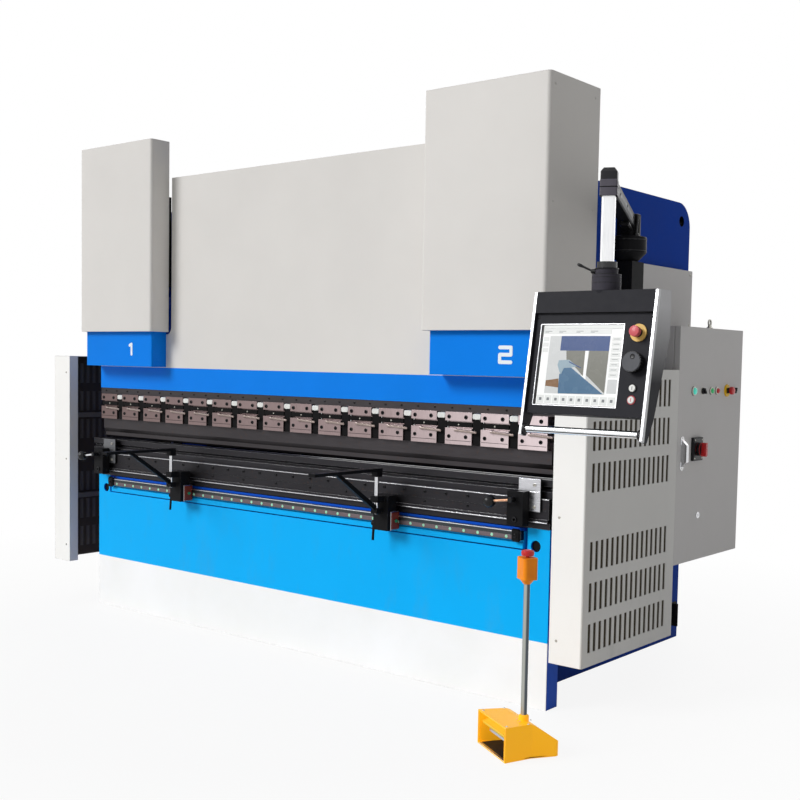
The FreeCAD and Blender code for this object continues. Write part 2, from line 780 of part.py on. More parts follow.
def cylinder_cover():
    """Right cylinder cover: folded sheet, open below and behind, on a shelf over the cylinder."""
    outer = COVER_OUTER
    bottom = RAM_SHOULDER + COVER_LIFT
    top = CYLINDER_TOP + COVER_HEADROOM
    whole = plan_prism(
        [
            (COVER_INNER, -COVER_FRONT, COVER_BEND),
            (outer, -COVER_FRONT, COVER_BEND),
            (outer, COVER_BACK, 0),
            (COVER_INNER, COVER_BACK, 0),
        ],
        bottom,
        top,
    )
    bend = COVER_BEND - COVER_SHEET
    inside = plan_prism(
        [
            (COVER_INNER + COVER_SHEET, COVER_SHEET - COVER_FRONT, bend),
            (outer - COVER_SHEET, COVER_SHEET - COVER_FRONT, bend),
            (outer - COVER_SHEET, COVER_BACK + OVERLAP, 0),
            (COVER_INNER + COVER_SHEET, COVER_BACK + OVERLAP, 0),
        ],
        bottom - OVERLAP,
        top - COVER_SHEET,
    )
    shell = whole.cut(inside)
    ram_way = block(
        COVER_INNER - OVERLAP,
        COVER_INNER + COVER_SHEET + OVERLAP,
        RAM_FRONT - COVER_RAM_GAP,
        COVER_BACK + OVERLAP,
        bottom - OVERLAP,
        top - COVER_SHEET,
    )
    shelf = block(
        CYLINDER_FROM_CENTRE,
        outer - COVER_SHEET,
        -COVER_SHELF_DEPTH / 2,
        COVER_SHELF_DEPTH / 2,
        CYLINDER_TOP,
        CYLINDER_TOP + COVER_SHELF_THICK,
    )
    return join([shell.cut(ram_way), shelf])


def ram_guides():
    """Upright guide bars on the frames' upper jaws, running behind the ram's shoulders."""
    middle = (FRAME_INNER + FRAME_OUTER) / 2
    guide = block(
        middle - GUIDE_WIDTH / 2,
        middle + GUIDE_WIDTH / 2,
        RAM_BACK + RUN_GAP,
        UPPER_JAW_FRONT,
        THROAT_HIGH + GUIDE_LIFT,
        CYLINDER_BOTTOM - GUIDE_END_GAP,
    )
    return Part.makeCompound([guide, mirrored(guide)])


CLAMP_COUNT = int((2 * RAM_HALF - 2 * CLAMP_ROW_MARGIN - CLAMP_WIDTH) / CLAMP_PITCH) + 1


def clamp_left_edge(index):
    """Left edge of one of the upper tool clamps."""
    row = CLAMP_PITCH * (CLAMP_COUNT - 1) + CLAMP_WIDTH
    return -row / 2 + CLAMP_PITCH * index


def tool_holder():
    """Strip under the ram that carries the clamps, with an adjusting wedge between each two."""
    half = HOLDER_STRIP_THICK / 2
    bottom = RAM_BOTTOM - HOLDER_STRIP_HEIGHT
    pieces = [block(-RAM_HALF, RAM_HALF, -half, half, bottom, RAM_BOTTOM)]
    gap = CLAMP_PITCH - CLAMP_WIDTH
    for index in range(CLAMP_COUNT - 1):
        middle = clamp_left_edge(index) + CLAMP_WIDTH + gap / 2
        pieces.append(
            block(
                middle - WEDGE_SIZE / 2,
                middle + WEDGE_SIZE / 2,
                -WEDGE_THICK,
                0,
                bottom - WEDGE_SIZE,
                bottom,
            )
        )
    return join(pieces)


def tool_clamp(left):
    """One upper tool clamp: body, upper and lower front plates, and the slot for the punch's tang."""
    right = left + CLAMP_WIDTH
    top = RAM_BOTTOM - HOLDER_STRIP_HEIGHT
    half = CLAMP_BODY_THICK / 2
    face = half + CLAMP_PLATE_THICK
    tang = TANG_THICK / 2 + RUN_GAP
    slot_top = CLAMP_BOTTOM + TANG_HEIGHT + RUN_GAP
    lower_top = CLAMP_BOTTOM + CLAMP_LOWER_HEIGHT
    section = [
        (half, CLAMP_BOTTOM, 0),
        (half, top, 0),
        (-face, top, 0),
        (-face, top - CLAMP_UPPER_HEIGHT, 0),
        (-half, top - CLAMP_UPPER_HEIGHT, 0),
        (-half, lower_top, 0),
        (-face, lower_top, 0),
        (-face, CLAMP_BOTTOM, 0),
        (-tang, CLAMP_BOTTOM, 0),
        (-tang, slot_top, 0),
        (tang, slot_top, 0),
        (tang, CLAMP_BOTTOM, 0),
    ]
    return side_prism(section, left, right)


def tool_clamps():
    """The row of upper tool clamps."""
    return Part.makeCompound([tool_clamp(clamp_left_edge(i)) for i in range(CLAMP_COUNT)])


def punch():
    """Upper tool: tang in the clamps, stepped body and a rounded tip on the bending line."""
    half_tang = TANG_THICK / 2
    half_body = PUNCH_BODY_THICK / 2
    shoulder = CLAMP_BOTTOM - PUNCH_SHOULDER_GAP
    step = PUNCH_TIP + PUNCH_STEP_HEIGHT
    blade = PUNCH_BLADE_THICK / 2
    half_angle = math.radians(PUNCH_TIP_ANGLE / 2)
    edge = PUNCH_TIP + blade / math.tan(half_angle)
    sharp = PUNCH_TIP - PUNCH_TIP_RADIUS * (1 / math.sin(half_angle) - 1)
    section = [
        (half_tang, CLAMP_BOTTOM + TANG_HEIGHT, 0),
        (-half_tang, CLAMP_BOTTOM + TANG_HEIGHT, 0),
        (-half_tang, shoulder, 0),
        (-half_body, shoulder, 0),
        (-half_body, step, 0),
        (-blade, step - PUNCH_SLOPE_HEIGHT, 0),
        (-blade, edge, 0),
        (0, sharp, PUNCH_TIP_RADIUS),
        (blade, edge, 0),
        (blade, shoulder, 0),
        (half_tang, shoulder, 0),
    ]
    left = clamp_left_edge(0) - PUNCH_BEYOND_CLAMPS
    return side_prism(section, left, -left)


def die_holder():
    """Crowning table that holds the die: base, projecting ledge and upper body."""
    base = HOLDER_BASE_THICK / 2
    ledge = HOLDER_LEDGE_THICK / 2
    upper = HOLDER_TOP_THICK / 2
    ledge_bottom = BED_HEIGHT + HOLDER_BASE_HEIGHT
    ledge_top = ledge_bottom + HOLDER_LEDGE_HEIGHT
    section = [
        (-base, BED_HEIGHT, 0),
        (base, BED_HEIGHT, 0),
        (base, ledge_bottom, 0),
        (ledge, ledge_bottom, 0),
        (ledge, ledge_top, 0),
        (upper, ledge_top, 0),
        (upper, HOLDER_TOP, 0),
        (-upper, HOLDER_TOP, 0),
        (-upper, ledge_top, 0),
        (-ledge, ledge_top, 0),
        (-ledge, ledge_bottom, 0),
        (-base, ledge_bottom, 0),
    ]
    return side_prism(section, -BED_HALF, BED_HALF)


def die():
    """Square multi-V die with a different V in each face."""
    half = DIE_SIZE / 2
    bottom = HOLDER_TOP
    middle = bottom + half
    slope = math.tan(math.radians(DIE_V_ANGLE / 2))
    top_half = DIE_TOP_V / 2
    side_half = DIE_SIDE_V / 2
    low_half = DIE_BOTTOM_V / 2
    section = [
        (-half, bottom, 0),
        (-low_half, bottom, 0),
        (0, bottom + low_half / slope, 0),
        (low_half, bottom, 0),
        (half, bottom, 0),
        (half, middle - side_half, 0),
        (half - side_half / slope, middle, 0),
        (half, middle + side_half, 0),
        (half, DIE_TOP, 0),
        (top_half, DIE_TOP, 0),
        (0, DIE_TOP - top_half / slope, 0),
        (-top_half, DIE_TOP, 0),
        (-half, DIE_TOP, 0),
        (-half, middle + side_half, 0),
        (-half + side_half / slope, middle, 0),
        (-half, middle - side_half, 0),
    ]
    return side_prism(section, -BED_HALF - DIE_LEFT_OVERHANG, BED_HALF + DIE_RIGHT_OVERHANG)


# Where the table clamps stand
LEDGE_FRONT = -HOLDER_LEDGE_THICK / 2
CLAMP_FACE = LEDGE_FRONT - TABLE_CLAMP_DEPTH
TABLE_CLAMP_BOTTOM = BED_HEIGHT + TABLE_CLAMP_LIFT
LEVER_AXIS_HEIGHT = TABLE_CLAMP_BOTTOM + LEVER_AXIS_UP


def table_clamp(left):
    """Clamp block on the holder's ledge with its steel pressure plate, and a hole for the lever."""
    right = left + TABLE_CLAMP_WIDTH
    top = TABLE_CLAMP_BOTTOM + TABLE_CLAMP_HEIGHT
    body = block(left, right, CLAMP_FACE, LEDGE_FRONT, TABLE_CLAMP_BOTTOM, top)
    plate_left = left + TABLE_CLAMP_PLATE_SHIFT
    plate_top = DIE_TOP + TABLE_CLAMP_PLATE_RISE
    plate = block(
        plate_left,
        plate_left + TABLE_CLAMP_PLATE_WIDTH,
        LEDGE_FRONT,
        -HOLDER_TOP_THICK / 2,
        plate_top - TABLE_CLAMP_PLATE_HEIGHT,
        plate_top,
    )
    axis_x = left + TABLE_CLAMP_WIDTH / 2
    hole = bar(
        LEVER_BOSS_RADIUS + RUN_GAP,
        Vector(axis_x, CLAMP_FACE - OVERLAP, LEVER_AXIS_HEIGHT),
        Vector(axis_x, CLAMP_FACE + LEVER_BOSS_ENTRY, LEVER_AXIS_HEIGHT),
    )
    return join([body, plate]).cut(hole)


def table_clamp_lefts():
    """Left edges of the two table clamps."""
    left_one = -BED_HALF + TABLE_CLAMP_FROM_END - TABLE_CLAMP_WIDTH / 2
    right_one = BED_HALF - TABLE_CLAMP_FROM_END - TABLE_CLAMP_WIDTH
    return left_one, right_one


def table_clamps():
    """Both table clamps."""
    return Part.makeCompound([table_clamp(left) for left in table_clamp_lefts()])


def knob(radius, height):
    """Ball knob on the Z axis with flat faces, its middle at the given height."""
    middle = Vector(0, 0, height)
    corner_radius = radius / math.cos(math.pi / LEVER_KNOB_SIDES)
    prisms = []
    for way in (Vector(radius, 0, 0), Vector(0, radius, 0), Vector(0, 0, radius)):
        prisms.append(many_sided(corner_radius, LEVER_KNOB_SIDES, middle.sub(way), middle.add(way)))
    return prisms[0].common(prisms[1]).common(prisms[2])


def clamp_lever(left):
    """Ball lever on a boss that turns in the clamp block and holds the ball clear of it."""
    axis_x = left + TABLE_CLAMP_WIDTH / 2
    back = CLAMP_FACE + LEVER_BOSS_ENTRY - RUN_GAP
    rod_y = CLAMP_FACE - LEVER_KNOB_GAP - LEVER_KNOB_RADIUS
    front = rod_y - LEVER_ROD_RADIUS - OVERLAP
    boss = bar(
        LEVER_BOSS_RADIUS,
        Vector(axis_x, back, LEVER_AXIS_HEIGHT),
        Vector(axis_x, front, LEVER_AXIS_HEIGHT),
    )
    start = Vector(axis_x, rod_y, LEVER_AXIS_HEIGHT)
    rod = many_sided(LEVER_ROD_RADIUS, SMALL_ROUND_SIDES, Vector(0, 0, 0), Vector(0, 0, LEVER_LENGTH))
    lever = rod.fuse(knob(LEVER_KNOB_RADIUS, LEVER_LENGTH))
    lever.rotate(Vector(0, 0, 0), Vector(0, 1, 0), -RIGHT_ANGLE - LEVER_DROP_ANGLE)
    lever.translate(start)
    return join([boss, lever])


RECESS_FLOOR = BED_FRONT + RECESS_DEPTH
CARRIER_BOTTOM = BED_HEIGHT - CARRIER_DROP


def rail_carrier():
    """Bar in the bed's recess that carries the rail, with a low lip along its front."""
    top = CARRIER_BOTTOM + CARRIER_HEIGHT
    lip_top = CARRIER_BOTTOM + CARRIER_LIP_HEIGHT
    lip_front = BED_FRONT - CARRIER_LIP_DEPTH
    section = [
        (RECESS_FLOOR, CARRIER_BOTTOM, 0),
        (RECESS_FLOOR, top, 0),
        (BED_FRONT, top, 0),
        (BED_FRONT, lip_top, 0),
        (lip_front, lip_top, 0),
        (lip_front, CARRIER_BOTTOM, 0),
    ]
    return side_prism(section, -RAIL_HALF_LENGTH, RAIL_HALF_LENGTH)


def guide_rail():
    """Linear rail of the front supports."""
    return block(
        -RAIL_HALF_LENGTH,
        RAIL_HALF_LENGTH,
        BED_FRONT - RAIL_DEPTH,
        BED_FRONT,
        RAIL_BOTTOM,
        RAIL_BOTTOM + RAIL_HEIGHT,
    )


RAIL_FACE = BED_FRONT - RAIL_DEPTH
CARRIAGE_BACK = LEDGE_FRONT - LEDGE_CLEARANCE
CARRIAGE_FACE = CARRIAGE_BACK - CARRIAGE_DEPTH
SUPPORT_ROD_Y = CARRIAGE_FACE - SUPPORT_ROD_FORWARD
SUPPORT_ROD_BOTTOM = RAIL_BOTTOM + SUPPORT_ROD_LIFT


def support_carriage(middle):
    """Carriage that grips the rail, with the forked bracket that holds the upright rod."""
    half = CARRIAGE_WIDTH / 2
    bottom = RAIL_BOTTOM - CARRIAGE_BELOW_RAIL
    bracket_bottom = RAIL_BOTTOM + SUPPORT_BRACKET_LIFT
    rail_top = RAIL_BOTTOM + RAIL_HEIGHT
    jaw_top = rail_top + CARRIAGE_JAW
    jaw_back = RAIL_FACE + CARRIAGE_JAW
    section = [
        (CARRIAGE_FACE, bottom, 0),
        (CARRIAGE_FACE, bottom + CARRIAGE_HEIGHT, 0),
        (CARRIAGE_BACK, bottom + CARRIAGE_HEIGHT, 0),
        (CARRIAGE_BACK, jaw_top, 0),
        (jaw_back, jaw_top, 0),
        (jaw_back, rail_top + RUN_GAP, 0),
        (RAIL_FACE - RUN_GAP, rail_top + RUN_GAP, 0),
        (RAIL_FACE - RUN_GAP, RAIL_BOTTOM - RUN_GAP, 0),
        (jaw_back, RAIL_BOTTOM - RUN_GAP, 0),
        (jaw_back, bottom, 0),
    ]
    body = side_prism(section, middle - half, middle + half)
    bracket_half = SUPPORT_BRACKET_WIDTH / 2
    bracket = block(
        middle - bracket_half,
        middle + bracket_half,
        SUPPORT_ROD_Y - SUPPORT_SLEEVE_HALF,
        CARRIAGE_FACE + OVERLAP,
        bracket_bottom,
        bracket_bottom + SUPPORT_BRACKET_HEIGHT,
    )
    foot = Vector(middle, SUPPORT_ROD_Y, bracket_bottom - OVERLAP)
    hole = Part.makeCylinder(
        SUPPORT_ROD_RADIUS + SEAT_GAP, SUPPORT_BRACKET_HEIGHT + 2 * OVERLAP, foot
    )
    boss_end = Vector(middle - half - SUPPORT_LEVER_BOSS, CARRIAGE_FACE + SUPPORT_LEVER_BOSS, RAIL_BOTTOM)
    boss_start = Vector(middle, boss_end.y, RAIL_BOTTOM)
    boss = many_sided(SUPPORT_LEVER_BOSS, SMALL_ROUND_SIDES, boss_start, boss_end)
    lever_start = boss_end.add(Vector(SUPPORT_LEVER_RADIUS, 0, 0))
    lever_end = boss_end.add(Vector(SUPPORT_LEVER_BOSS, -SUPPORT_LEVER_BOSS, -SUPPORT_LEVER_LENGTH))
    lever = many_sided(SUPPORT_LEVER_RADIUS, SMALL_ROUND_SIDES, lever_start, lever_end)
    return join([body, bracket.cut(hole), boss, lever])


def support_rod(middle):
    """Upright rod of a front support."""
    foot = Vector(middle, SUPPORT_ROD_Y, SUPPORT_ROD_BOTTOM)
    return Part.makeCylinder(SUPPORT_ROD_RADIUS, SUPPORT_ROD_LENGTH, foot)


def support_arm(middle):
    """Sheet support: a flat bar towards the operator with a brace, on two sleeves round the rod."""
    half = SUPPORT_BAR_WIDTH / 2
    top = SUPPORT_ROD_BOTTOM + SUPPORT_ROD_LENGTH + SUPPORT_BAR_THICK + SEAT_GAP
    bar_bottom = top - SUPPORT_BAR_THICK
    back = SUPPORT_ROD_Y + SUPPORT_SLEEVE_HALF
    front = back - SUPPORT_BAR_LENGTH
    flat = block(middle - half, middle + half, front, back, bar_bottom, top)
    low = top - SUPPORT_BRACE_DROP
    brace_half = SUPPORT_BRACE_THICK / 2
    brace_front = SUPPORT_ROD_Y - SUPPORT_BRACE_REACH
    brace_low_y = SUPPORT_ROD_Y
    brace = side_prism(
        [
            (brace_front - SUPPORT_BRACE_THICK, bar_bottom + OVERLAP, 0),
            (brace_front + SUPPORT_BRACE_THICK, bar_bottom + OVERLAP, 0),
            (brace_low_y, low + SUPPORT_BRACE_THICK, 0),
            (brace_low_y, low, 0),
            (brace_low_y - SUPPORT_SLEEVE_HALF, low, 0),
        ],
        middle - brace_half,
        middle + brace_half,
    )
    hole_radius = SUPPORT_ROD_RADIUS + SEAT_GAP
    pieces = [flat, brace]
    for sleeve_bottom in (bar_bottom - SUPPORT_SLEEVE_HEIGHT, low - SUPPORT_BRACE_THICK):
        height = SUPPORT_SLEEVE_HEIGHT
        if sleeve_bottom + height > bar_bottom:
            height = bar_bottom - sleeve_bottom
        sleeve = block(
            middle - SUPPORT_SLEEVE_HALF,
            middle + SUPPORT_SLEEVE_HALF,
            SUPPORT_ROD_Y - SUPPORT_SLEEVE_HALF,
            SUPPORT_ROD_Y + SUPPORT_SLEEVE_HALF,
            sleeve_bottom,
            sleeve_bottom + height,
        )
        pieces.append(sleeve)
    hole_foot = Vector(middle, SUPPORT_ROD_Y, low - SUPPORT_SLEEVE_HEIGHT - OVERLAP)
    hole = Part.makeCylinder(hole_radius, bar_bottom - hole_foot.z, hole_foot)
    return join(pieces).cut(hole)


SLOT_COLUMNS = int((GUARD_DEPTH - SLOT_MARGIN - SLOT_REAR_MARGIN - SLOT_WIDTH) / SLOT_PITCH) + 1
SLOT_GROUP_HEIGHT = SLOT_HEIGHT + (SLOT_ROWS_IN_GROUP - 1) * SLOT_ROW_PITCH
SLOT_UPPER_ROWS = GUARD_HEIGHT - SLOT_TOP_MARGIN - SLOT_GROUP_HEIGHT


def stiffener_bottoms(bottom):
    """Undersides of the two stiffeners of a guard, between its rows of slots."""
    up = SLOT_HEIGHT + (SLOT_ROW_PITCH - SLOT_HEIGHT - STIFFENER_HEIGHT) / 2
    return [bottom + up + row for row in (SLOT_BOTTOM_MARGIN + SLOT_ROW_PITCH, SLOT_UPPER_ROWS)]


def stiffener(outer, front, low):
    """Folded channel across the inside of a guard's slotted sheet."""
    inner = outer - GUARD_SHEET - STIFFENER_DEPTH
    start = front + GUARD_BEND
    end = front + GUARD_DEPTH - GUARD_BEND
    high = low + STIFFENER_HEIGHT
    whole = block(inner, outer - GUARD_SHEET + OVERLAP, start, end, low, high)
    hollow = block(
        inner + STIFFENER_SHEET,
        outer - GUARD_SHEET,
        start - OVERLAP,
        end + OVERLAP,
        low + STIFFENER_SHEET,
        high - STIFFENER_SHEET,
    )
    return whole.cut(hollow)


def guard(inner, bottom, forward):
    """Right side guard: folded sheet with ventilation slots, open below and towards the machine."""
    outer = inner + GUARD_WIDTH
    front = -GUARD_FRONT - forward
    back = front + GUARD_DEPTH
    top = bottom + GUARD_HEIGHT
    whole = plan_prism(
        [(inner, front, 0), (outer, front, GUARD_BEND), (outer, back, GUARD_BEND), (inner, back, 0)],
        bottom,
        top,
    )
    bend = GUARD_BEND - GUARD_SHEET
    inside = plan_prism(
        [
            (inner + GUARD_SHEET, front + GUARD_SHEET, 0),
            (outer - GUARD_SHEET, front + GUARD_SHEET, bend),
            (outer - GUARD_SHEET, back - GUARD_SHEET, bend),
            (inner + GUARD_SHEET, back - GUARD_SHEET, 0),
        ],
        bottom - OVERLAP,
        top - GUARD_SHEET,
    )
    mouth = block(
        inner - OVERLAP,
        inner + GUARD_SHEET + OVERLAP,
        front + GUARD_FLANGE,
        back - GUARD_REAR_RETURN,
        bottom - OVERLAP,
        top - GUARD_SHEET,
    )
    cutters = [inside, mouth]
    for group in (SLOT_BOTTOM_MARGIN, SLOT_UPPER_ROWS):
        for row in range(SLOT_ROWS_IN_GROUP):
            low = bottom + group + SLOT_ROW_PITCH * row
            for column in range(SLOT_COLUMNS):
                left = front + SLOT_MARGIN + SLOT_PITCH * column
                cutters.append(
                    block(
                        outer - 2 * GUARD_SHEET,
                        outer + OVERLAP,
                        left,
                        left + SLOT_WIDTH,
                        low,
                        low + SLOT_HEIGHT,
                    )
                )
    pieces = [whole.cut(cutters)]
    for low in stiffener_bottoms(bottom):
        pieces.append(stiffener(outer, front, low))
    return join(pieces)


def bracket_tube(near, far, low):
    """Square tube along X behind the throat, open at both ends."""
    tube = block(near, far, BRACKET_BACK, BRACKET_BACK + BRACKET_SIZE, low, low + BRACKET_SIZE)
    hollow = block(
        near - OVERLAP,
        far + OVERLAP,
        BRACKET_BACK + BRACKET_WALL,
        BRACKET_BACK + BRACKET_SIZE - BRACKET_WALL,
        low + BRACKET_WALL,
        low + BRACKET_SIZE - BRACKET_WALL,
    )
    return tube.cut(hollow)


def guard_brackets():
    """Square tubes that carry the guards' stiffeners on the side frames."""
    tubes = []
    for side, from_bed, bottom in (
        (1, GUARD_RIGHT_FROM_BED, GUARD_RIGHT_BOTTOM),
        (-1, GUARD_LEFT_FROM_BED, GUARD_LEFT_BOTTOM),
    ):
        reach = BED_HALF + from_bed + GUARD_WIDTH - GUARD_SHEET - STIFFENER_DEPTH - SEAT_GAP
        near, far = sorted((side * FRAME_OUTER, side * reach))
        for stiffener_low in stiffener_bottoms(bottom):
            low = stiffener_low + (STIFFENER_HEIGHT - BRACKET_SIZE) / 2
            tubes.append(bracket_tube(near, far, low))
    return Part.makeCompound(tubes)


CABINET_BACK = CABINET_FRONT + CABINET_WIDTH
CABINET_TOP = CABINET_BOTTOM + CABINET_HEIGHT
CABINET_FACE = FRAME_OUTER + CABINET_DEPTH
DOOR_INNER = CABINET_FACE + DOOR_GAP
DOOR_FACE = DOOR_INNER + DOOR_THICK
HINGE_X = CABINET_FACE + HINGE_RADIUS + DOOR_GAP
HINGE_Y = CABINET_BACK + HINGE_OUT
SWITCH_CENTRE = CABINET_BOTTOM + SWITCH_UP
CONTROL_CENTRE = SWITCH_CENTRE + CONTROL_ABOVE_SWITCH


def hinge_heights():
    """Bottoms of the cabinet's hinges."""
    low = CABINET_BOTTOM + HINGE_FROM_END
    high = CABINET_TOP - HINGE_FROM_END - 2 * HINGE_LENGTH
    return low, high


def hinge_knuckle(bottom):
    """Knuckle round the cabinet's hinge axis, without its bore."""
    foot = Vector(HINGE_X, HINGE_Y, bottom)
    return many_sided(HINGE_RADIUS, SMALL_ROUND_SIDES, foot, foot.add(Vector(0, 0, HINGE_LENGTH)))


def cabinet_box():
    """Cabinet: a sheet box open towards the door, its lip, mounting plate and lower hinge knuckles."""
    whole = block(FRAME_OUTER, CABINET_FACE, CABINET_FRONT, CABINET_BACK, CABINET_BOTTOM, CABINET_TOP)
    inside = block(
        FRAME_OUTER + CABINET_SHEET,
        CABINET_FACE - CABINET_SHEET,
        CABINET_FRONT + CABINET_SHEET,
        CABINET_BACK - CABINET_SHEET,
        CABINET_BOTTOM + CABINET_SHEET,
        CABINET_TOP - CABINET_SHEET,
    )
    mouth = block(
        CABINET_FACE - 2 * CABINET_SHEET,
        CABINET_FACE + OVERLAP,
        CABINET_FRONT + CABINET_LIP,
        CABINET_BACK - CABINET_LIP,
        CABINET_BOTTOM + CABINET_LIP,
        CABINET_TOP - CABINET_LIP,
    )
    shell = whole.cut([inside, mouth])
    pieces = [shell]
    plate_x = FRAME_OUTER + MOUNTING_PLATE_STANDOFF
    plate = block(
        plate_x,
        plate_x + MOUNTING_PLATE_THICK,
        CABINET_FRONT + MOUNTING_PLATE_MARGIN,
        CABINET_BACK - MOUNTING_PLATE_MARGIN,
        CABINET_BOTTOM + MOUNTING_PLATE_MARGIN,
        CABINET_TOP - MOUNTING_PLATE_MARGIN,
    )
    pieces.append(plate)
    for stud_y in (CABINET_FRONT + 2 * MOUNTING_PLATE_MARGIN, CABINET_BACK - 2 * MOUNTING_PLATE_MARGIN):
        for stud_z in (
            CABINET_BOTTOM + 2 * MOUNTING_PLATE_MARGIN,
            CABINET_TOP - 2 * MOUNTING_PLATE_MARGIN,
        ):
            stud = block(
                FRAME_OUTER + OVERLAP,
                plate_x + OVERLAP,
                stud_y - MOUNTING_STUD / 2,
                stud_y + MOUNTING_STUD / 2,
                stud_z - MOUNTING_STUD / 2,
                stud_z + MOUNTING_STUD / 2,
            )
            pieces.append(stud)
    for low in hinge_heights():
        foot = Vector(HINGE_X, HINGE_Y, low)
        pieces.append(hinge_knuckle(low))
        pieces.append(Part.makeCylinder(HINGE_PIN_RADIUS, 2 * HINGE_LENGTH - OVERLAP, foot))
        flat = block(
            CABINET_FACE - HINGE_RADIUS,
            CABINET_FACE,
            CABINET_BACK - OVERLAP,
            HINGE_Y + HINGE_LEAF,
            low,
            low + HINGE_LENGTH,
        )
        leaf = block(
            CABINET_FACE - OVERLAP,
            HINGE_X,
            HINGE_Y - HINGE_LEAF,
            HINGE_Y + HINGE_LEAF,
            low,
            low + HINGE_LENGTH,
        )
        pieces.append(flat)
        pieces.append(leaf)
    return join(pieces)


def cabinet_door():
    """Folded door pan with its upper hinge knuckles."""
    whole = block(DOOR_INNER, DOOR_FACE, CABINET_FRONT, CABINET_BACK, CABINET_BOTTOM, CABINET_TOP)
    inside = block(
        DOOR_INNER - OVERLAP,
        DOOR_FACE - DOOR_SHEET,
        CABINET_FRONT + DOOR_SHEET,
        CABINET_BACK - DOOR_SHEET,
        CABINET_BOTTOM + DOOR_SHEET,
        CABINET_TOP - DOOR_SHEET,
    )
    pieces = [whole.cut(inside)]
    bores = []
    for low in hinge_heights():
        knuckle_bottom = low + HINGE_LENGTH + RUN_GAP
        pieces.append(hinge_knuckle(knuckle_bottom))
        pieces.append(
            block(
                HINGE_X,
                HINGE_X + HINGE_RADIUS,
                CABINET_BACK - OVERLAP,
                HINGE_Y,
                knuckle_bottom,
                knuckle_bottom + HINGE_LENGTH,
            )
        )
        bore_foot = Vector(HINGE_X, HINGE_Y, knuckle_bottom - OVERLAP)
        bores.append(
            Part.makeCylinder(HINGE_PIN_RADIUS + HINGE_PIN_GAP, HINGE_LENGTH, bore_foot)
        )
    return join(pieces).cut(bores)


def door_handle():
    """Upright lever handle on the door's free edge."""
    middle = CABINET_FRONT + HANDLE_FROM_EDGE
    half = HANDLE_WIDTH / 2
    centre = CABINET_BOTTOM + HANDLE_UP
    low = centre - HANDLE_HEIGHT / 2
    high = centre + HANDLE_HEIGHT / 2
    section = [
        (DOOR_FACE, low, 0),
        (DOOR_FACE + HANDLE_DEPTH, low + HANDLE_DEPTH, HANDLE_CORNER),
        (DOOR_FACE + HANDLE_DEPTH, high - HANDLE_DEPTH, HANDLE_CORNER),
        (DOOR_FACE, high, 0),
    ]
    return front_prism(section, middle - half, middle + half)


def switch_base():
    """Base of the main switch on the door, with a hole for the knob's shaft."""
    middle = CABINET_FRONT + SWITCH_FROM_EDGE
    half = SWITCH_WIDTH / 2
    low = SWITCH_CENTRE - SWITCH_HEIGHT / 2
    base = block(
        DOOR_FACE, DOOR_FACE + SWITCH_BASE_THICK, middle - half, middle + half, low, low + SWITCH_HEIGHT
    )
    hole = bar(
        SWITCH_SHAFT_RADIUS + RUN_GAP,
        Vector(DOOR_FACE + OVERLAP, middle, SWITCH_CENTRE),
        Vector(DOOR_FACE + SWITCH_BASE_THICK + OVERLAP, middle, SWITCH_CENTRE),
    )
    return base.cut(hole)


def main_switch():
    """Rotary knob of the main switch with its grip."""
    middle = CABINET_FRONT + SWITCH_FROM_EDGE
    back = DOOR_FACE + SWITCH_BASE_THICK + RUN_GAP
    front = back + SWITCH_KNOB_DEPTH
    shaft = bar(
        SWITCH_SHAFT_RADIUS,
        Vector(DOOR_FACE + OVERLAP + RUN_GAP, middle, SWITCH_CENTRE),
        Vector(back + OVERLAP, middle, SWITCH_CENTRE),
    )
    knob_start = Vector(back, middle, SWITCH_CENTRE)
    knob_end = Vector(front, middle, SWITCH_CENTRE)
    rim = many_sided(SWITCH_KNOB_RADIUS, ROUND_SIDES, knob_start, knob_end)
    grip = block(
        front - OVERLAP,
        front + SWITCH_GRIP_DEPTH,
        middle - SWITCH_GRIP_WIDTH / 2,
        middle + SWITCH_GRIP_WIDTH / 2,
        SWITCH_CENTRE - SWITCH_KNOB_RADIUS,
        SWITCH_CENTRE + SWITCH_KNOB_RADIUS,
    )
    return join([shaft, rim, grip])


def cabinet_controls():
    """Lamps, buttons and the stop button on the door."""
    pieces = []
    for offset in CONTROL_OFFSETS:
        foot = Vector(DOOR_FACE, CABINET_FRONT + offset, CONTROL_CENTRE)
        end = foot.add(Vector(CONTROL_DEPTH, 0, 0))
        pieces.append(many_sided(CONTROL_RADIUS, ROUND_SIDES, foot, end))
    foot = Vector(DOOR_FACE, CABINET_FRONT + STOP_OFFSET, CONTROL_CENTRE)
    end = foot.add(Vector(STOP_DEPTH, 0, 0))
    ring = many_sided(STOP_RING_RADIUS, ROUND_SIDES, foot, foot.add(Vector(STOP_RING_DEPTH, 0, 0)))
    stem = many_sided(STOP_STEM_RADIUS, SMALL_ROUND_SIDES, foot, end)
    head = many_sided(STOP_HEAD_RADIUS, ROUND_SIDES, end.sub(Vector(STOP_HEAD_HEIGHT, 0, 0)), end)
    pieces.append(join([ring, stem, head]))
    return Part.makeCompound(pieces)


def service_panel():
    """Shallow cover on the right frame, above the cabinet."""
    bottom = CABINET_TOP + PANEL_ABOVE_CABINET
    return block(
        FRAME_OUTER,
        FRAME_OUTER + PANEL_THICK,
        PANEL_FRONT,
        PANEL_FRONT + PANEL_DEPTH,
        bottom,
        bottom + PANEL_HEIGHT,
    )


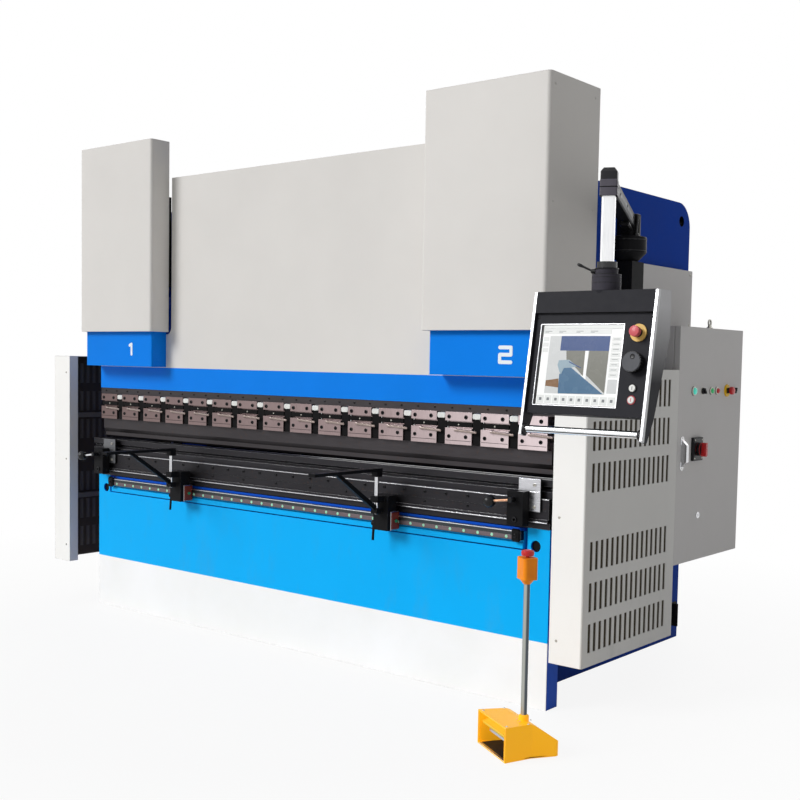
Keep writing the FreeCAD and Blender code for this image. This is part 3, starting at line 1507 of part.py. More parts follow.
COLUMN_X = FRAME_OUTER + COLUMN_FROM_FRAME
COLUMN_TOP = COLUMN_BOTTOM + COLUMN_HEIGHT
POST_X = COLUMN_X + POST_FROM_COLUMN
POST_Y = COLUMN_Y - POST_FORWARD
HUB_BOTTOM = COLUMN_TOP + SEAT_GAP
ARM_BOTTOM = HUB_BOTTOM + HUB_HEIGHT
ARM_TOP = ARM_BOTTOM + ARM_HEIGHT
POST_TOP = ARM_BOTTOM + ARM_HEIGHT / 2
POST_BOTTOM = POST_TOP - POST_LENGTH
CONSOLE_TOP = POST_BOTTOM - NECK_HEIGHT - SEAT_GAP - COLLAR_HEIGHT


def pendant_column():
    """Column on the right frame: wall plate, bracket and square upright with the pivot pin."""
    half = COLUMN_SIZE / 2
    upright = block(
        COLUMN_X - half, COLUMN_X + half, COLUMN_Y - half, COLUMN_Y + half, COLUMN_BOTTOM, COLUMN_TOP
    )
    bracket_bottom = COLUMN_BOTTOM + COLUMN_BRACKET_LIFT
    bracket = block(
        FRAME_OUTER,
        COLUMN_X - half + OVERLAP,
        COLUMN_Y - half,
        COLUMN_Y + half,
        bracket_bottom,
        bracket_bottom + COLUMN_BRACKET_HEIGHT,
    )
    plate_half = COLUMN_PLATE_SIZE / 2
    middle_z = bracket_bottom + COLUMN_BRACKET_HEIGHT / 2
    plate = block(
        FRAME_OUTER,
        FRAME_OUTER + COLUMN_PLATE_THICK,
        COLUMN_Y - plate_half,
        COLUMN_Y + plate_half,
        middle_z - plate_half,
        middle_z + plate_half,
    )
    pin_foot = Vector(COLUMN_X, COLUMN_Y, COLUMN_TOP - OVERLAP)
    pin = Part.makeCylinder(HUB_PIN_RADIUS, HUB_PIN_LENGTH + OVERLAP, pin_foot)
    return join([upright, bracket, plate, pin])


def arm_turn():
    """Angle of the pendant arm from +X, in degrees."""
    return math.degrees(math.atan2(POST_Y - COLUMN_Y, POST_X - COLUMN_X))


def pendant_arm():
    """Pivot hub on the column, the long arm and the bevelled elbow over the post."""
    foot = Vector(COLUMN_X, COLUMN_Y, HUB_BOTTOM)
    cone = Part.makeCone(HUB_RADIUS - HUB_TAPER, HUB_RADIUS, HUB_TAPER, foot)
    drum_foot = foot.add(Vector(0, 0, HUB_TAPER))
    drum = Part.makeCylinder(HUB_RADIUS, HUB_HEIGHT + ARM_HEIGHT - HUB_TAPER, drum_foot)
    bore_foot = Vector(COLUMN_X, COLUMN_Y, HUB_BOTTOM - OVERLAP)
    bore = Part.makeCylinder(HUB_PIN_RADIUS + RUN_GAP, HUB_PIN_LENGTH + 2 * OVERLAP, bore_foot)
    length = math.hypot(POST_X - COLUMN_X, POST_Y - COLUMN_Y)
    beam = block(0, length, -ARM_WIDTH / 2, ARM_WIDTH / 2, ARM_BOTTOM, ARM_TOP)
    half = ELBOW_SIZE / 2
    elbow = block(length - half, length + half, -half, half, ARM_BOTTOM, ARM_BOTTOM + ELBOW_HEIGHT)
    rim = [edge for edge in elbow.Edges if edge.BoundBox.ZMin > ARM_BOTTOM + ELBOW_HEIGHT - OVERLAP]
    elbow = elbow.makeChamfer(ELBOW_BEVEL, rim)
    reach = beam.fuse(elbow)
    reach.rotate(Vector(0, 0, 0), Vector(0, 0, 1), arm_turn())
    reach.translate(Vector(COLUMN_X, COLUMN_Y, 0))
    return join([cone, drum, reach]).cut(bore)


def pendant_post():
    """Square aluminium tube that hangs from the elbow, and the fixed collar at its foot."""
    half = POST_SIZE / 2
    corners = [(-half, -half), (half, -half), (half, half), (-half, half)]
    tube = plan_prism([(x, y, POST_CORNER) for x, y in corners], POST_BOTTOM, ARM_BOTTOM)
    neck = Part.makeCylinder(NECK_RADIUS, NECK_HEIGHT, Vector(0, 0, POST_BOTTOM - NECK_HEIGHT))
    post = join([tube, neck])
    post.rotate(Vector(0, 0, 0), Vector(0, 0, 1), arm_turn())
    post.translate(Vector(POST_X, POST_Y, 0))
    return post


def tilted(along, out):
    """Point (y, z) on the console's tilted face: along it from the hood's foot, and out of it."""
    turn = math.radians(CONSOLE_TILT)
    start_y = CONSOLE_FACE_Y
    start_z = CONSOLE_TOP - HOOD_HEIGHT
    y = start_y - along * math.sin(turn) - out * math.cos(turn)
    z = start_z - along * math.cos(turn) + out * math.sin(turn)
    return y, z


CONSOLE_BACK_Y = POST_Y + CONSOLE_BACK
CONSOLE_HOOD_Y = CONSOLE_BACK_Y - CONSOLE_TOP_DEPTH
CONSOLE_FACE_Y = CONSOLE_HOOD_Y - HOOD_HEIGHT * math.tan(math.radians(CONSOLE_TILT)) + PANEL_SET_BACK
CONSOLE_LEFT = POST_X - CONSOLE_SHIFT - CONSOLE_WIDTH / 2
CONSOLE_RIGHT = CONSOLE_LEFT + CONSOLE_WIDTH


def pendant_console():
    """Console: hood, tilted panel with the screen's recess, and the two cheeks."""
    turn = math.radians(CONSOLE_TILT)
    hood_foot_y = CONSOLE_HOOD_Y - HOOD_HEIGHT * math.tan(turn)
    end_front = tilted(PANEL_LENGTH, 0)
    end_back = tilted(PANEL_LENGTH, -CONSOLE_LOWER_DEPTH)
    section = [
        (CONSOLE_BACK_Y, CONSOLE_TOP, 0),
        (CONSOLE_HOOD_Y, CONSOLE_TOP, 0),
        (hood_foot_y, CONSOLE_TOP - HOOD_HEIGHT, 0),
        (CONSOLE_FACE_Y, CONSOLE_TOP - HOOD_HEIGHT, 0),
        (end_front[0], end_front[1], 0),
        (end_back[0], end_back[1], 0),
        (CONSOLE_BACK_Y, CONSOLE_TOP - 2 * HOOD_HEIGHT, 0),
    ]
    body = side_prism(section, CONSOLE_LEFT, CONSOLE_RIGHT)
    corner_a = tilted(SCREEN_DROP, OVERLAP)
    corner_b = tilted(SCREEN_DROP + SCREEN_HEIGHT, OVERLAP)
    corner_c = tilted(SCREEN_DROP + SCREEN_HEIGHT, -SCREEN_SINK)
    corner_d = tilted(SCREEN_DROP, -SCREEN_SINK)
    window = side_prism(
        [(y, z, 0) for y, z in (corner_a, corner_b, corner_c, corner_d)],
        CONSOLE_LEFT + SCREEN_LEFT,
        CONSOLE_LEFT + SCREEN_LEFT + SCREEN_WIDTH,
    )
    pieces = [body.cut(window)]
    tip_y = CONSOLE_HOOD_Y - CHEEK_LENGTH * math.sin(turn)
    tip_z = CONSOLE_TOP - CHEEK_LENGTH * math.cos(turn)
    cheek_section = [
        (CONSOLE_BACK_Y, CONSOLE_TOP, 0),
        (CONSOLE_HOOD_Y, CONSOLE_TOP, CHEEK_CORNER),
        (tip_y, tip_z, CHEEK_TIP_CORNER),
        (tip_y + CHEEK_TIP, tip_z - CHEEK_TIP / 4, CHEEK_TIP_CORNER),
        (end_back[0], end_back[1], CHEEK_INNER_CORNER),
        (CONSOLE_BACK_Y, CONSOLE_TOP - 2 * HOOD_HEIGHT, CHEEK_INNER_CORNER),
    ]
    for left in (CONSOLE_LEFT - CHEEK_THICK, CONSOLE_RIGHT):
        pieces.append(side_prism(cheek_section, left, left + CHEEK_THICK))
    collar_foot = Vector(POST_X, POST_Y, CONSOLE_TOP - CHEEK_THICK)
    wide_height = COLLAR_HEIGHT + CHEEK_THICK - COLLAR_STEP
    pieces.append(Part.makeCylinder(COLLAR_RADIUS, wide_height, collar_foot))
    pieces.append(Part.makeCylinder(COLLAR_STEP_RADIUS, COLLAR_HEIGHT + CHEEK_THICK, collar_foot))
    return join(pieces)


def pendant_handle():
    """Round grip between the cheeks' lower tips."""
    turn = math.radians(CONSOLE_TILT)
    grip_y = CONSOLE_HOOD_Y - CHEEK_LENGTH * math.sin(turn) + GRIP_BACK
    grip_z = CONSOLE_TOP - CHEEK_LENGTH * math.cos(turn) + GRIP_UP
    return bar(GRIP_RADIUS, Vector(CONSOLE_LEFT, grip_y, grip_z), Vector(CONSOLE_RIGHT, grip_y, grip_z))


def face_point(x, along, out):
    """Point over the console's face."""
    y, z = tilted(along, out)
    return Vector(x, y, z)


def fluted_bar(radius, depth, flutes, length):
    """Upright bar with shallow flutes round it, on the origin."""
    points = []
    for index in range(2 * flutes):
        turn = math.pi * index / flutes
        reach = radius - depth * (index % 2)
        points.append(Vector(reach * math.cos(turn), reach * math.sin(turn), 0))
    points.append(points[0])
    return Part.Face(Part.makePolygon(points)).extrude(Vector(0, 0, length))


def pendant_dial():
    """Turning dial of the console: a fluted wheel on its round shaft."""
    x = CONSOLE_RIGHT - CONTROL_COLUMN_FROM_RIGHT
    wheel = fluted_bar(DIAL_RADIUS, DIAL_FLUTE_DEPTH, DIAL_FLUTES, DIAL_DEPTH)
    wheel.rotate(Vector(0, 0, 0), Vector(1, 0, 0), RIGHT_ANGLE - CONSOLE_TILT)
    y, z = tilted(DIAL_DROP, RUN_GAP + DIAL_SHAFT_LENGTH)
    wheel.translate(Vector(x, y, z))
    shaft = bar(
        DIAL_SHAFT_RADIUS,
        face_point(x, DIAL_DROP, RUN_GAP),
        face_point(x, DIAL_DROP, RUN_GAP + DIAL_SHAFT_LENGTH + OVERLAP),
    )
    return join([wheel, shaft])


def stop_bar(radius, sides, start, end):
    """Many-sided bar on the console's stop button axis, between two distances out of the face."""
    x = CONSOLE_RIGHT - CONTROL_COLUMN_FROM_RIGHT
    foot = face_point(x, PENDANT_STOP_DROP, start)
    top = face_point(x, PENDANT_STOP_DROP, end)
    return many_sided(radius, sides, foot, top)


def pendant_stop_ring():
    """Yellow ring behind the console's stop button, with the hole that the stem moves in."""
    ring = stop_bar(PENDANT_STOP_RING, ROUND_SIDES, 0, STOP_RING_DEPTH)
    hole = stop_bar(
        STOP_STEM_RADIUS + RUN_GAP, SMALL_ROUND_SIDES, -OVERLAP, STOP_RING_DEPTH + OVERLAP
    )
    return ring.cut(hole)


def pendant_stop():
    """Mushroom stop button of the console, with room to travel behind its stem."""
    stem = stop_bar(STOP_STEM_RADIUS, SMALL_ROUND_SIDES, STOP_TRAVEL + RUN_GAP, STOP_DEPTH)
    head = stop_bar(STOP_HEAD_RADIUS, ROUND_SIDES, STOP_DEPTH - STOP_HEAD_HEIGHT, STOP_DEPTH)
    return join([stem, head])


def back_gauge():
    """Back gauge behind the die: two rails on the bed, the cross beam and two stop fingers."""
    pieces = []
    rail_top = BED_HEIGHT - GAUGE_RAIL_DROP
    bottom = rail_top - GAUGE_RAIL_HEIGHT
    for side in (-1, 1):
        middle = side * GAUGE_RAIL_FROM_CENTRE
        half = GAUGE_RAIL_WIDTH / 2
        pieces.append(
            block(
                middle - half,
                middle + half,
                BED_BACK,
                BED_BACK + GAUGE_RAIL_LENGTH,
                bottom,
                rail_top,
            )
        )
    beam_front = GAUGE_BEAM_BACK - GAUGE_BEAM_SIZE
    beam_top = rail_top + GAUGE_BEAM_SIZE
    half_beam = FRAME_INNER - GAUGE_BEAM_FROM_FRAME
    pieces.append(block(-half_beam, half_beam, beam_front, GAUGE_BEAM_BACK, rail_top, beam_top))
    for side in (-1, 1):
        middle = side * GAUGE_FINGER_FROM_CENTRE
        post_half = GAUGE_POST_SIZE / 2
        pieces.append(
            block(
                middle - post_half,
                middle + post_half,
                GAUGE_BEAM_BACK - GAUGE_POST_SIZE,
                GAUGE_BEAM_BACK,
                beam_top,
                DIE_TOP,
            )
        )
        half = GAUGE_FINGER_WIDTH / 2
        pieces.append(
            block(
                middle - half,
                middle + half,
                GAUGE_BEAM_BACK - GAUGE_FINGER_LENGTH,
                GAUGE_BEAM_BACK,
                DIE_TOP,
                DIE_TOP + GAUGE_FINGER_THICK,
            )
        )
    return join(pieces)


def place_pedal(shape):
    """Turn the foot pedal and set it on the floor in front of the machine."""
    shape.rotate(Vector(0, 0, 0), Vector(0, 0, 1), PEDAL_TURN)
    shape.translate(Vector(PEDAL_X, PEDAL_Y, 0))
    return shape


def pedal_hood(inset):
    """Rounded hood of the pedal: the side outline crossed with the waisted plan outline."""
    half = PEDAL_WIDTH / 2 - inset
    waist = half - PEDAL_WAIST
    back = PEDAL_DEPTH - inset
    bottom = PEDAL_FOOT_HEIGHT
    side = side_prism(
        [
            (0, bottom, 0),
            (back, bottom, 0),
            (back, PEDAL_REAR_HEIGHT - inset, 0),
            (PEDAL_FLAT, PEDAL_FRONT_HEIGHT - inset, PEDAL_CURVE),
            (0, PEDAL_FRONT_HEIGHT - inset, 0),
        ],
        -PEDAL_WIDTH,
        PEDAL_WIDTH,
    )
    middle = back / 2
    plan = plan_prism(
        [
            (-half, 0, 0),
            (half, 0, 0),
            (waist, middle, PEDAL_CURVE),
            (half - PEDAL_WAIST / 2, back, PEDAL_REAR_CORNER),
            (-half + PEDAL_WAIST / 2, back, PEDAL_REAR_CORNER),
            (-waist, middle, PEDAL_CURVE),
        ],
        0,
        PEDAL_FRONT_HEIGHT,
    )
    return side.common(plan)


def pedal_socket_foot():
    """Place of the post on the pedal's hood, before the pedal is turned."""
    return Vector(PEDAL_POST_SIDE, PEDAL_POST_BACK, PEDAL_FRONT_HEIGHT)


def pedal_housing():
    """Hood of the foot pedal, open in front, with its floor, tread ears, socket and rubber feet."""
    shell = pedal_hood(0).cut(pedal_hood(PEDAL_WALL).fuse(block(
        -PEDAL_WIDTH / 2 + PEDAL_WALL,
        PEDAL_WIDTH / 2 - PEDAL_WALL,
        -OVERLAP,
        PEDAL_WALL,
        0,
        PEDAL_FRONT_HEIGHT - PEDAL_WALL,
    )))
    floor = pedal_hood(0).common(
        block(
            -PEDAL_WIDTH,
            PEDAL_WIDTH,
            0,
            PEDAL_DEPTH,
            PEDAL_FOOT_HEIGHT,
            PEDAL_FOOT_HEIGHT + PEDAL_FLOOR,
        )
    )
    pieces = [shell, floor]
    for side in (-1, 1):
        near = side * (TREAD_WIDTH / 2 + SEAT_GAP)
        far = near + side * TREAD_EAR_THICK
        low, high = sorted((near, far))
        ear = block(
            low,
            high,
            TREAD_AXIS_BACK - TREAD_BOSS_RADIUS,
            TREAD_AXIS_BACK + TREAD_BOSS_RADIUS,
            PEDAL_FOOT_HEIGHT,
            TREAD_AXIS_HEIGHT + TREAD_BOSS_RADIUS,
        )
        hole = bar(
            TREAD_PIN_RADIUS + HINGE_PIN_GAP,
            Vector(low - OVERLAP, TREAD_AXIS_BACK, TREAD_AXIS_HEIGHT),
            Vector(high + OVERLAP, TREAD_AXIS_BACK, TREAD_AXIS_HEIGHT),
        )
        pieces.append(ear.cut(hole))
    socket_at = pedal_socket_foot()
    socket = Part.makeCylinder(
        PEDAL_SOCKET_RADIUS,
        PEDAL_SOCKET_HEIGHT + PEDAL_WALL,
        socket_at.sub(Vector(0, 0, PEDAL_WALL)),
    )
    pieces.append(socket)
    reach = PEDAL_WIDTH / 2 - PEDAL_FOOT_MARGIN - PEDAL_WAIST
    for foot_x in (-reach, reach):
        for foot_y in (PEDAL_FOOT_MARGIN, PEDAL_DEPTH - PEDAL_FOOT_MARGIN):
            foot = Vector(foot_x, foot_y, 0)
            top = foot.add(Vector(0, 0, PEDAL_FOOT_HEIGHT + OVERLAP))
            pieces.append(many_sided(PEDAL_FOOT_RADIUS, SMALL_ROUND_SIDES, foot, top))
    hole = Part.makeCylinder(PEDAL_POST_RADIUS + RUN_GAP, PEDAL_SOCKET_HEIGHT, socket_at)
    return place_pedal(join(pieces).cut(hole))


def foot_pedal():
    """Tread plate on its pin across the housing, sloping up to the front."""
    boss = bar(
        TREAD_BOSS_RADIUS,
        Vector(-TREAD_WIDTH / 2, TREAD_AXIS_BACK, TREAD_AXIS_HEIGHT),
        Vector(TREAD_WIDTH / 2, TREAD_AXIS_BACK, TREAD_AXIS_HEIGHT),
    )
    pin_half = TREAD_WIDTH / 2 + TREAD_EAR_THICK
    pin = bar(
        TREAD_PIN_RADIUS,
        Vector(-pin_half, TREAD_AXIS_BACK, TREAD_AXIS_HEIGHT),
        Vector(pin_half, TREAD_AXIS_BACK, TREAD_AXIS_HEIGHT),
    )
    plate = block(
        -TREAD_WIDTH / 2,
        TREAD_WIDTH / 2,
        TREAD_AXIS_BACK - TREAD_LENGTH,
        TREAD_AXIS_BACK,
        TREAD_AXIS_HEIGHT + TREAD_BOSS_RADIUS - TREAD_THICK,
        TREAD_AXIS_HEIGHT + TREAD_BOSS_RADIUS,
    )
    plate.rotate(
        Vector(0, TREAD_AXIS_BACK, TREAD_AXIS_HEIGHT), Vector(1, 0, 0), -TREAD_ANGLE
    )
    return place_pedal(join([boss, pin, plate]))


PEDAL_BOX_BOTTOM = PEDAL_POST_TOP - 2 * OVERLAP + STOP_BOX_CONE
PEDAL_BOX_TOP = PEDAL_BOX_BOTTOM + STOP_BOX_HEIGHT


def on_pedal_post(height):
    """Point on the axis of the pedal's post, before the pedal is turned."""
    foot = pedal_socket_foot()
    return Vector(foot.x, foot.y, height)


def pedal_post():
    """Post on the pedal's hood with the rounded box of its stop button, bored for the stem."""
    foot = pedal_socket_foot()
    tube = Part.makeCylinder(PEDAL_POST_RADIUS, PEDAL_POST_TOP - foot.z, foot)
    cone = Part.makeCone(
        PEDAL_POST_RADIUS, STOP_BOX_DEPTH / 2, STOP_BOX_CONE, on_pedal_post(PEDAL_POST_TOP - OVERLAP)
    )
    half_x = STOP_BOX_WIDTH / 2
    half_y = STOP_BOX_DEPTH / 2
    box = plan_prism(
        [
            (foot.x - half_x, foot.y - half_y, STOP_BOX_CORNER),
            (foot.x + half_x, foot.y - half_y, STOP_BOX_CORNER),
            (foot.x + half_x, foot.y + half_y, STOP_BOX_CORNER),
            (foot.x - half_x, foot.y + half_y, STOP_BOX_CORNER),
        ],
        PEDAL_BOX_BOTTOM,
        PEDAL_BOX_TOP,
    )
    bore_bottom = PEDAL_BOX_TOP - PEDAL_STOP_ENTRY - PEDAL_STOP_TRAVEL - RUN_GAP
    bore = many_sided(
        PEDAL_STOP_STEM + RUN_GAP,
        SMALL_ROUND_SIDES,
        on_pedal_post(bore_bottom),
        on_pedal_post(PEDAL_BOX_TOP + OVERLAP),
    )
    return place_pedal(join([tube, cone, box]).cut(bore))


def pedal_stop():
    """Mushroom stop button on top of the pedal's box."""
    head_bottom = PEDAL_BOX_TOP + PEDAL_STOP_LIFT
    stem = many_sided(
        PEDAL_STOP_STEM,
        SMALL_ROUND_SIDES,
        on_pedal_post(PEDAL_BOX_TOP - PEDAL_STOP_ENTRY),
        on_pedal_post(head_bottom + OVERLAP),
    )
    head = many_sided(
        PEDAL_STOP_HEAD,
        ROUND_SIDES,
        on_pedal_post(head_bottom),
        on_pedal_post(head_bottom + PEDAL_STOP_HEAD_HEIGHT),
    )
    return place_pedal(join([stem, head]))


os.makedirs("parts", exist_ok=True)

save(side_frame(), "side_frame_right")
save(mirrored(side_frame()), "side_frame_left")
save(bed_plate(), "bed_plate")
save(cross_beams(), "cross_beams")
save(oil_tank(), "oil_tank")
save(pump_motor(), "pump_motor")
save(ram_plate(), "ram_plate")
save(ram_box(), "ram_box_right")
save(mirrored(ram_box()), "ram_box_left")
save(piston_rods(), "piston_rods")
save(cylinder(), "cylinder_right")
save(mirrored(cylinder()), "cylinder_left")
save(cylinder_cover(), "cylinder_cover_right")
save(mirrored(cylinder_cover()), "cylinder_cover_left")
save(ram_guides(), "ram_guides")
save(tool_holder(), "tool_holder")
save(tool_clamps(), "tool_clamps")
save(punch(), "punch")
save(die_holder(), "die_holder")
save(die(), "die")
save(table_clamps(), "table_clamps")
CLAMP_LEFTS = table_clamp_lefts()
save(clamp_lever(CLAMP_LEFTS[0]), "clamp_lever_left")
save(clamp_lever(CLAMP_LEFTS[1]), "clamp_lever_right")
save(rail_carrier(), "rail_carrier")
save(guide_rail(), "guide_rail")
for side_name, support_at in (("left", SUPPORT_LEFT_AT), ("right", SUPPORT_RIGHT_AT)):
    save(support_carriage(support_at), "support_carriage_" + side_name)
    save(support_rod(support_at), "support_rod_" + side_name)
    save(support_arm(support_at), "support_arm_" + side_name)
save(guard(BED_HALF + GUARD_RIGHT_FROM_BED, GUARD_RIGHT_BOTTOM, 0), "guard_right")
LEFT_GUARD = guard(BED_HALF + GUARD_LEFT_FROM_BED, GUARD_LEFT_BOTTOM, GUARD_LEFT_FORWARD)
save(mirrored(LEFT_GUARD), "guard_left")
save(guard_brackets(), "guard_brackets")
save(cabinet_box(), "cabinet_box")
save(cabinet_door(), "cabinet_door")
save(door_handle(), "door_handle")
save(switch_base(), "switch_base")
save(main_switch(), "main_switch")
save(cabinet_controls(), "cabinet_controls")
save(service_panel(), "service_panel")
save(pendant_column(), "pendant_column")
save(pendant_arm(), "pendant_arm")
save(pendant_post(), "pendant_post")
save(pendant_console(), "pendant_console")
save(pendant_handle(), "pendant_handle")
save(pendant_dial(), "pendant_dial")
save(pendant_stop_ring(), "pendant_stop_ring")
save(pendant_stop(), "pendant_stop")
save(back_gauge(), "back_gauge")
save(pedal_housing(), "pedal_housing")
save(foot_pedal(), "foot_pedal")
save(pedal_post(), "pedal_post")
save(pedal_stop(), "pedal_stop")
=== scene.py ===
import math
from itertools import product

import bmesh
import bpy
from mathutils import Matrix, Vector


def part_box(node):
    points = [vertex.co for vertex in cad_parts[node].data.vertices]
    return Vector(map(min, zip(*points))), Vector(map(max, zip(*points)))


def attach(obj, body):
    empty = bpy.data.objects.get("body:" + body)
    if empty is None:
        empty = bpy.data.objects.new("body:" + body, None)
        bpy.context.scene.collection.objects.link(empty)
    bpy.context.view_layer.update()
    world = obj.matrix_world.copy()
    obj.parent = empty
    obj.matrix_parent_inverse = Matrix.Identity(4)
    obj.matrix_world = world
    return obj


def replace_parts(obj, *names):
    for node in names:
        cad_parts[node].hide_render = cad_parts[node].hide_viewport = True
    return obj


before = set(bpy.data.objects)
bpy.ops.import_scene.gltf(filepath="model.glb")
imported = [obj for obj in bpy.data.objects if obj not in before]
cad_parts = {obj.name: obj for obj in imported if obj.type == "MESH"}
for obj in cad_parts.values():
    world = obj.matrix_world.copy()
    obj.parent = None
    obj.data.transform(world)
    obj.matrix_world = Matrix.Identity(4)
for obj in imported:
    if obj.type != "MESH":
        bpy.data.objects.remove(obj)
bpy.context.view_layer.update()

# Hydraulic press brake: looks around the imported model. Metres, X along the bending line, Y into the machine.

FRONT, BACKWARD, RIGHT, LEFT, UP = (0, -1, 0), (0, 1, 0), (1, 0, 0), (-1, 0, 0), (0, 0, 1)
AT_REST = Matrix.Identity(4)


def make_camera():
    """Camera at the photograph's place, with its turn, pitch and roll."""
    yaw, pitch, roll = 0.6764, 0.0621, 0.0189
    forward = Vector((-math.sin(yaw) * math.cos(pitch), math.cos(yaw) * math.cos(pitch), -math.sin(pitch)))
    level = Vector((math.cos(yaw), math.sin(yaw), 0))
    upright = level.cross(forward)
    right = level * math.cos(roll) + upright * math.sin(roll)
    up = upright * math.cos(roll) - level * math.sin(roll)
    data = bpy.data.cameras.new("camera")
    data.sensor_width = 36.0
    data.lens = 50.98
    data.shift_x = -0.0287
    data.shift_y = 0.0412
    camera = bpy.data.objects.new("camera", data)
    turn = Matrix((right, up, -forward)).transposed()
    camera.matrix_world = Matrix.Translation((4.1722, -4.1281, 1.4883)) @ turn.to_4x4()
    bpy.context.scene.collection.objects.link(camera)
    bpy.context.scene.camera = camera


make_camera()
bpy.context.scene.view_settings.view_transform = "Standard"


# Materials

def linear(colour):
    """Scene-linear colour from 8-bit display values."""
    return tuple(((c / 255 + 0.055) / 1.055) ** 2.4 if c > 10 else c / 255 / 12.92 for c in colour)


def scaled(colour, share, more=0.0):
    """Lighter or darker colour."""
    return tuple(min(1, c * share + more) for c in colour)


class Nodes:
    """Short names for the nodes of one material or of the world."""

    def __init__(self, owner):
        owner.use_nodes = True
        self.material, self.tree = owner, owner.node_tree
        self.shader = self.tree.nodes.get("Principled BSDF")
        self.place = self.make("TexCoord").outputs["Object"]

    def feed(self, value, socket):
        """Link an output to the socket, or set its plain value."""
        if isinstance(value, bpy.types.NodeSocket):
            self.tree.links.new(value, socket)
        else:
            socket.default_value = value

    def make(self, kind, *values, **named):
        """New node; values fill its sockets in order, named ones by name with _ for a space."""
        node = self.tree.nodes.new("ShaderNode" + kind)
        for value, socket in zip(values, node.inputs):
            self.feed(value, socket)
        for name, value in named.items():
            self.feed(value, node.inputs[name.replace("_", " ")])
        return node

    def shade(self, **named):
        """Set or link sockets of the shader."""
        for name, value in named.items():
            self.feed(value, self.shader.inputs[name.replace("_", " ")])

    def noise(self, scale, detail=4.0, stretch=(1, 1, 1), rough=0.55):
        mapped = self.make("Mapping", Vector=self.place, Scale=stretch).outputs["Vector"]
        node = self.make("TexNoise", Vector=mapped, Scale=scale, Detail=detail, Roughness=rough)
        return node.outputs["Fac"]

    def ramp(self, value, low, high, out_low=0.0, out_high=1.0):
        return self.make("MapRange", value, low, high, out_low, out_high).outputs["Result"]

    def math(self, kind, a, b=0.0):
        node = self.make("Math", a, b)
        node.operation = kind
        return node.outputs[0]

    def product(self, a, b):
        return self.math("MULTIPLY", a, b)

    def mix(self, factor, a, b):
        node = self.make("Mix", factor)
        node.data_type = "RGBA"
        for value, socket in ((a, node.inputs[6]), (b, node.inputs[7])):
            self.feed((*value, 1) if isinstance(value, tuple) else value, socket)
        return node.outputs[2]

    def axis(self, index):
        return self.make("SeparateXYZ", self.place).outputs[index]

    def vector(self, kind, *values):
        node = self.make("VectorMath", *values)
        node.operation = kind
        return node.outputs["Value"]

    def edges(self, radius):
        """Rounded normal, and a mask that is 1 along sharp edges."""
        bevel = self.make("Bevel", Radius=radius)
        bevel.samples = 4
        normal = bevel.outputs["Normal"]
        dot = self.vector("DOT_PRODUCT", normal, self.make("NewGeometry").outputs["Normal"])
        return normal, self.ramp(dot, 0.995, 0.90)

    def bump(self, height, strength, distance, normal):
        node = self.make("Bump", Strength=strength, Distance=distance, Height=height, Normal=normal)
        return node.outputs["Normal"]

    def cloudy(self, cloud, colour, tone):
        """Colour that wanders a little to both sides."""
        return self.mix(self.ramp(cloud, 0.3, 0.7), scaled(colour, 1 - tone), scaled(colour, 1 + tone))


DUST, RUST = linear((120, 112, 100)), linear((88, 62, 44))


def painted(name, colour, rough=0.38, coat=0.0, peel=0.12, edge=None, radius=0.002, dust=0.12, tone=0.06,
            shine=0.2):
    """Sprayed metal: orange peel, cloudy tone, dust low down and a paler or worn edge."""
    n = Nodes(bpy.data.materials.new(name))
    cloud, fine = n.noise(1.7, 5.0), n.noise(38.0, 3.0)
    patches = n.ramp(n.noise(9.0, 8.0, (1, 1, 0.35), 0.7), 0.52, 0.75)
    grime = n.product(patches, n.ramp(n.axis(2), 0.9, 0.0))
    base = n.mix(n.product(grime, dust), n.cloudy(cloud, linear(colour), tone), DUST)
    normal, mask = n.edges(radius)
    if edge:
        chips = n.product(mask, n.ramp(n.noise(60.0, 6.0), 0.55, 0.62))
        base = n.mix(n.product(chips, 0.7), base, linear(edge))
    sheen = n.math("ADD", n.product(cloud, 0.6), n.product(fine, 0.4))
    n.shade(Base_Color=base, Roughness=n.ramp(sheen, 0.3, 0.7, rough - 0.06, rough + 0.09),
            Normal=n.bump(n.noise(420.0, 2.0), peel, 0.0006, normal), Specular_IOR_Level=shine,
            Coat_Weight=coat, Coat_Roughness=0.12)
    return n.material


def machined(name, colour, rough=0.32, stretch=(1, 40, 40), scale=14.0, wear=None, spots=0.0):
    """Ground or milled metal with long fine marks and edges that shine."""
    n = Nodes(bpy.data.materials.new(name))
    colour = linear(colour)
    marks, cloud = n.noise(scale, 6.0, stretch, 0.6), n.noise(3.0, 5.0)
    base = n.mix(n.ramp(marks, 0.3, 0.7), scaled(colour, 0.86), scaled(colour, 1.12))
    base = n.mix(n.ramp(cloud, 0.35, 0.75, 0.0, 0.35), base, scaled(colour, 0.6))
    if spots:
        base = n.mix(n.product(n.ramp(n.noise(75.0, 8.0), 0.60, 0.68), spots), base, RUST)
    normal, mask = n.edges(0.001)
    base = n.mix(n.product(mask, 0.75), base, linear(wear) if wear else scaled(colour, 1.6, 0.05))
    n.shade(Base_Color=base, Roughness=n.ramp(marks, 0.25, 0.75, rough - 0.09, rough + 0.14),
            Normal=n.bump(marks, 0.10, 0.0004, normal), Metallic=1.0)
    return n.material


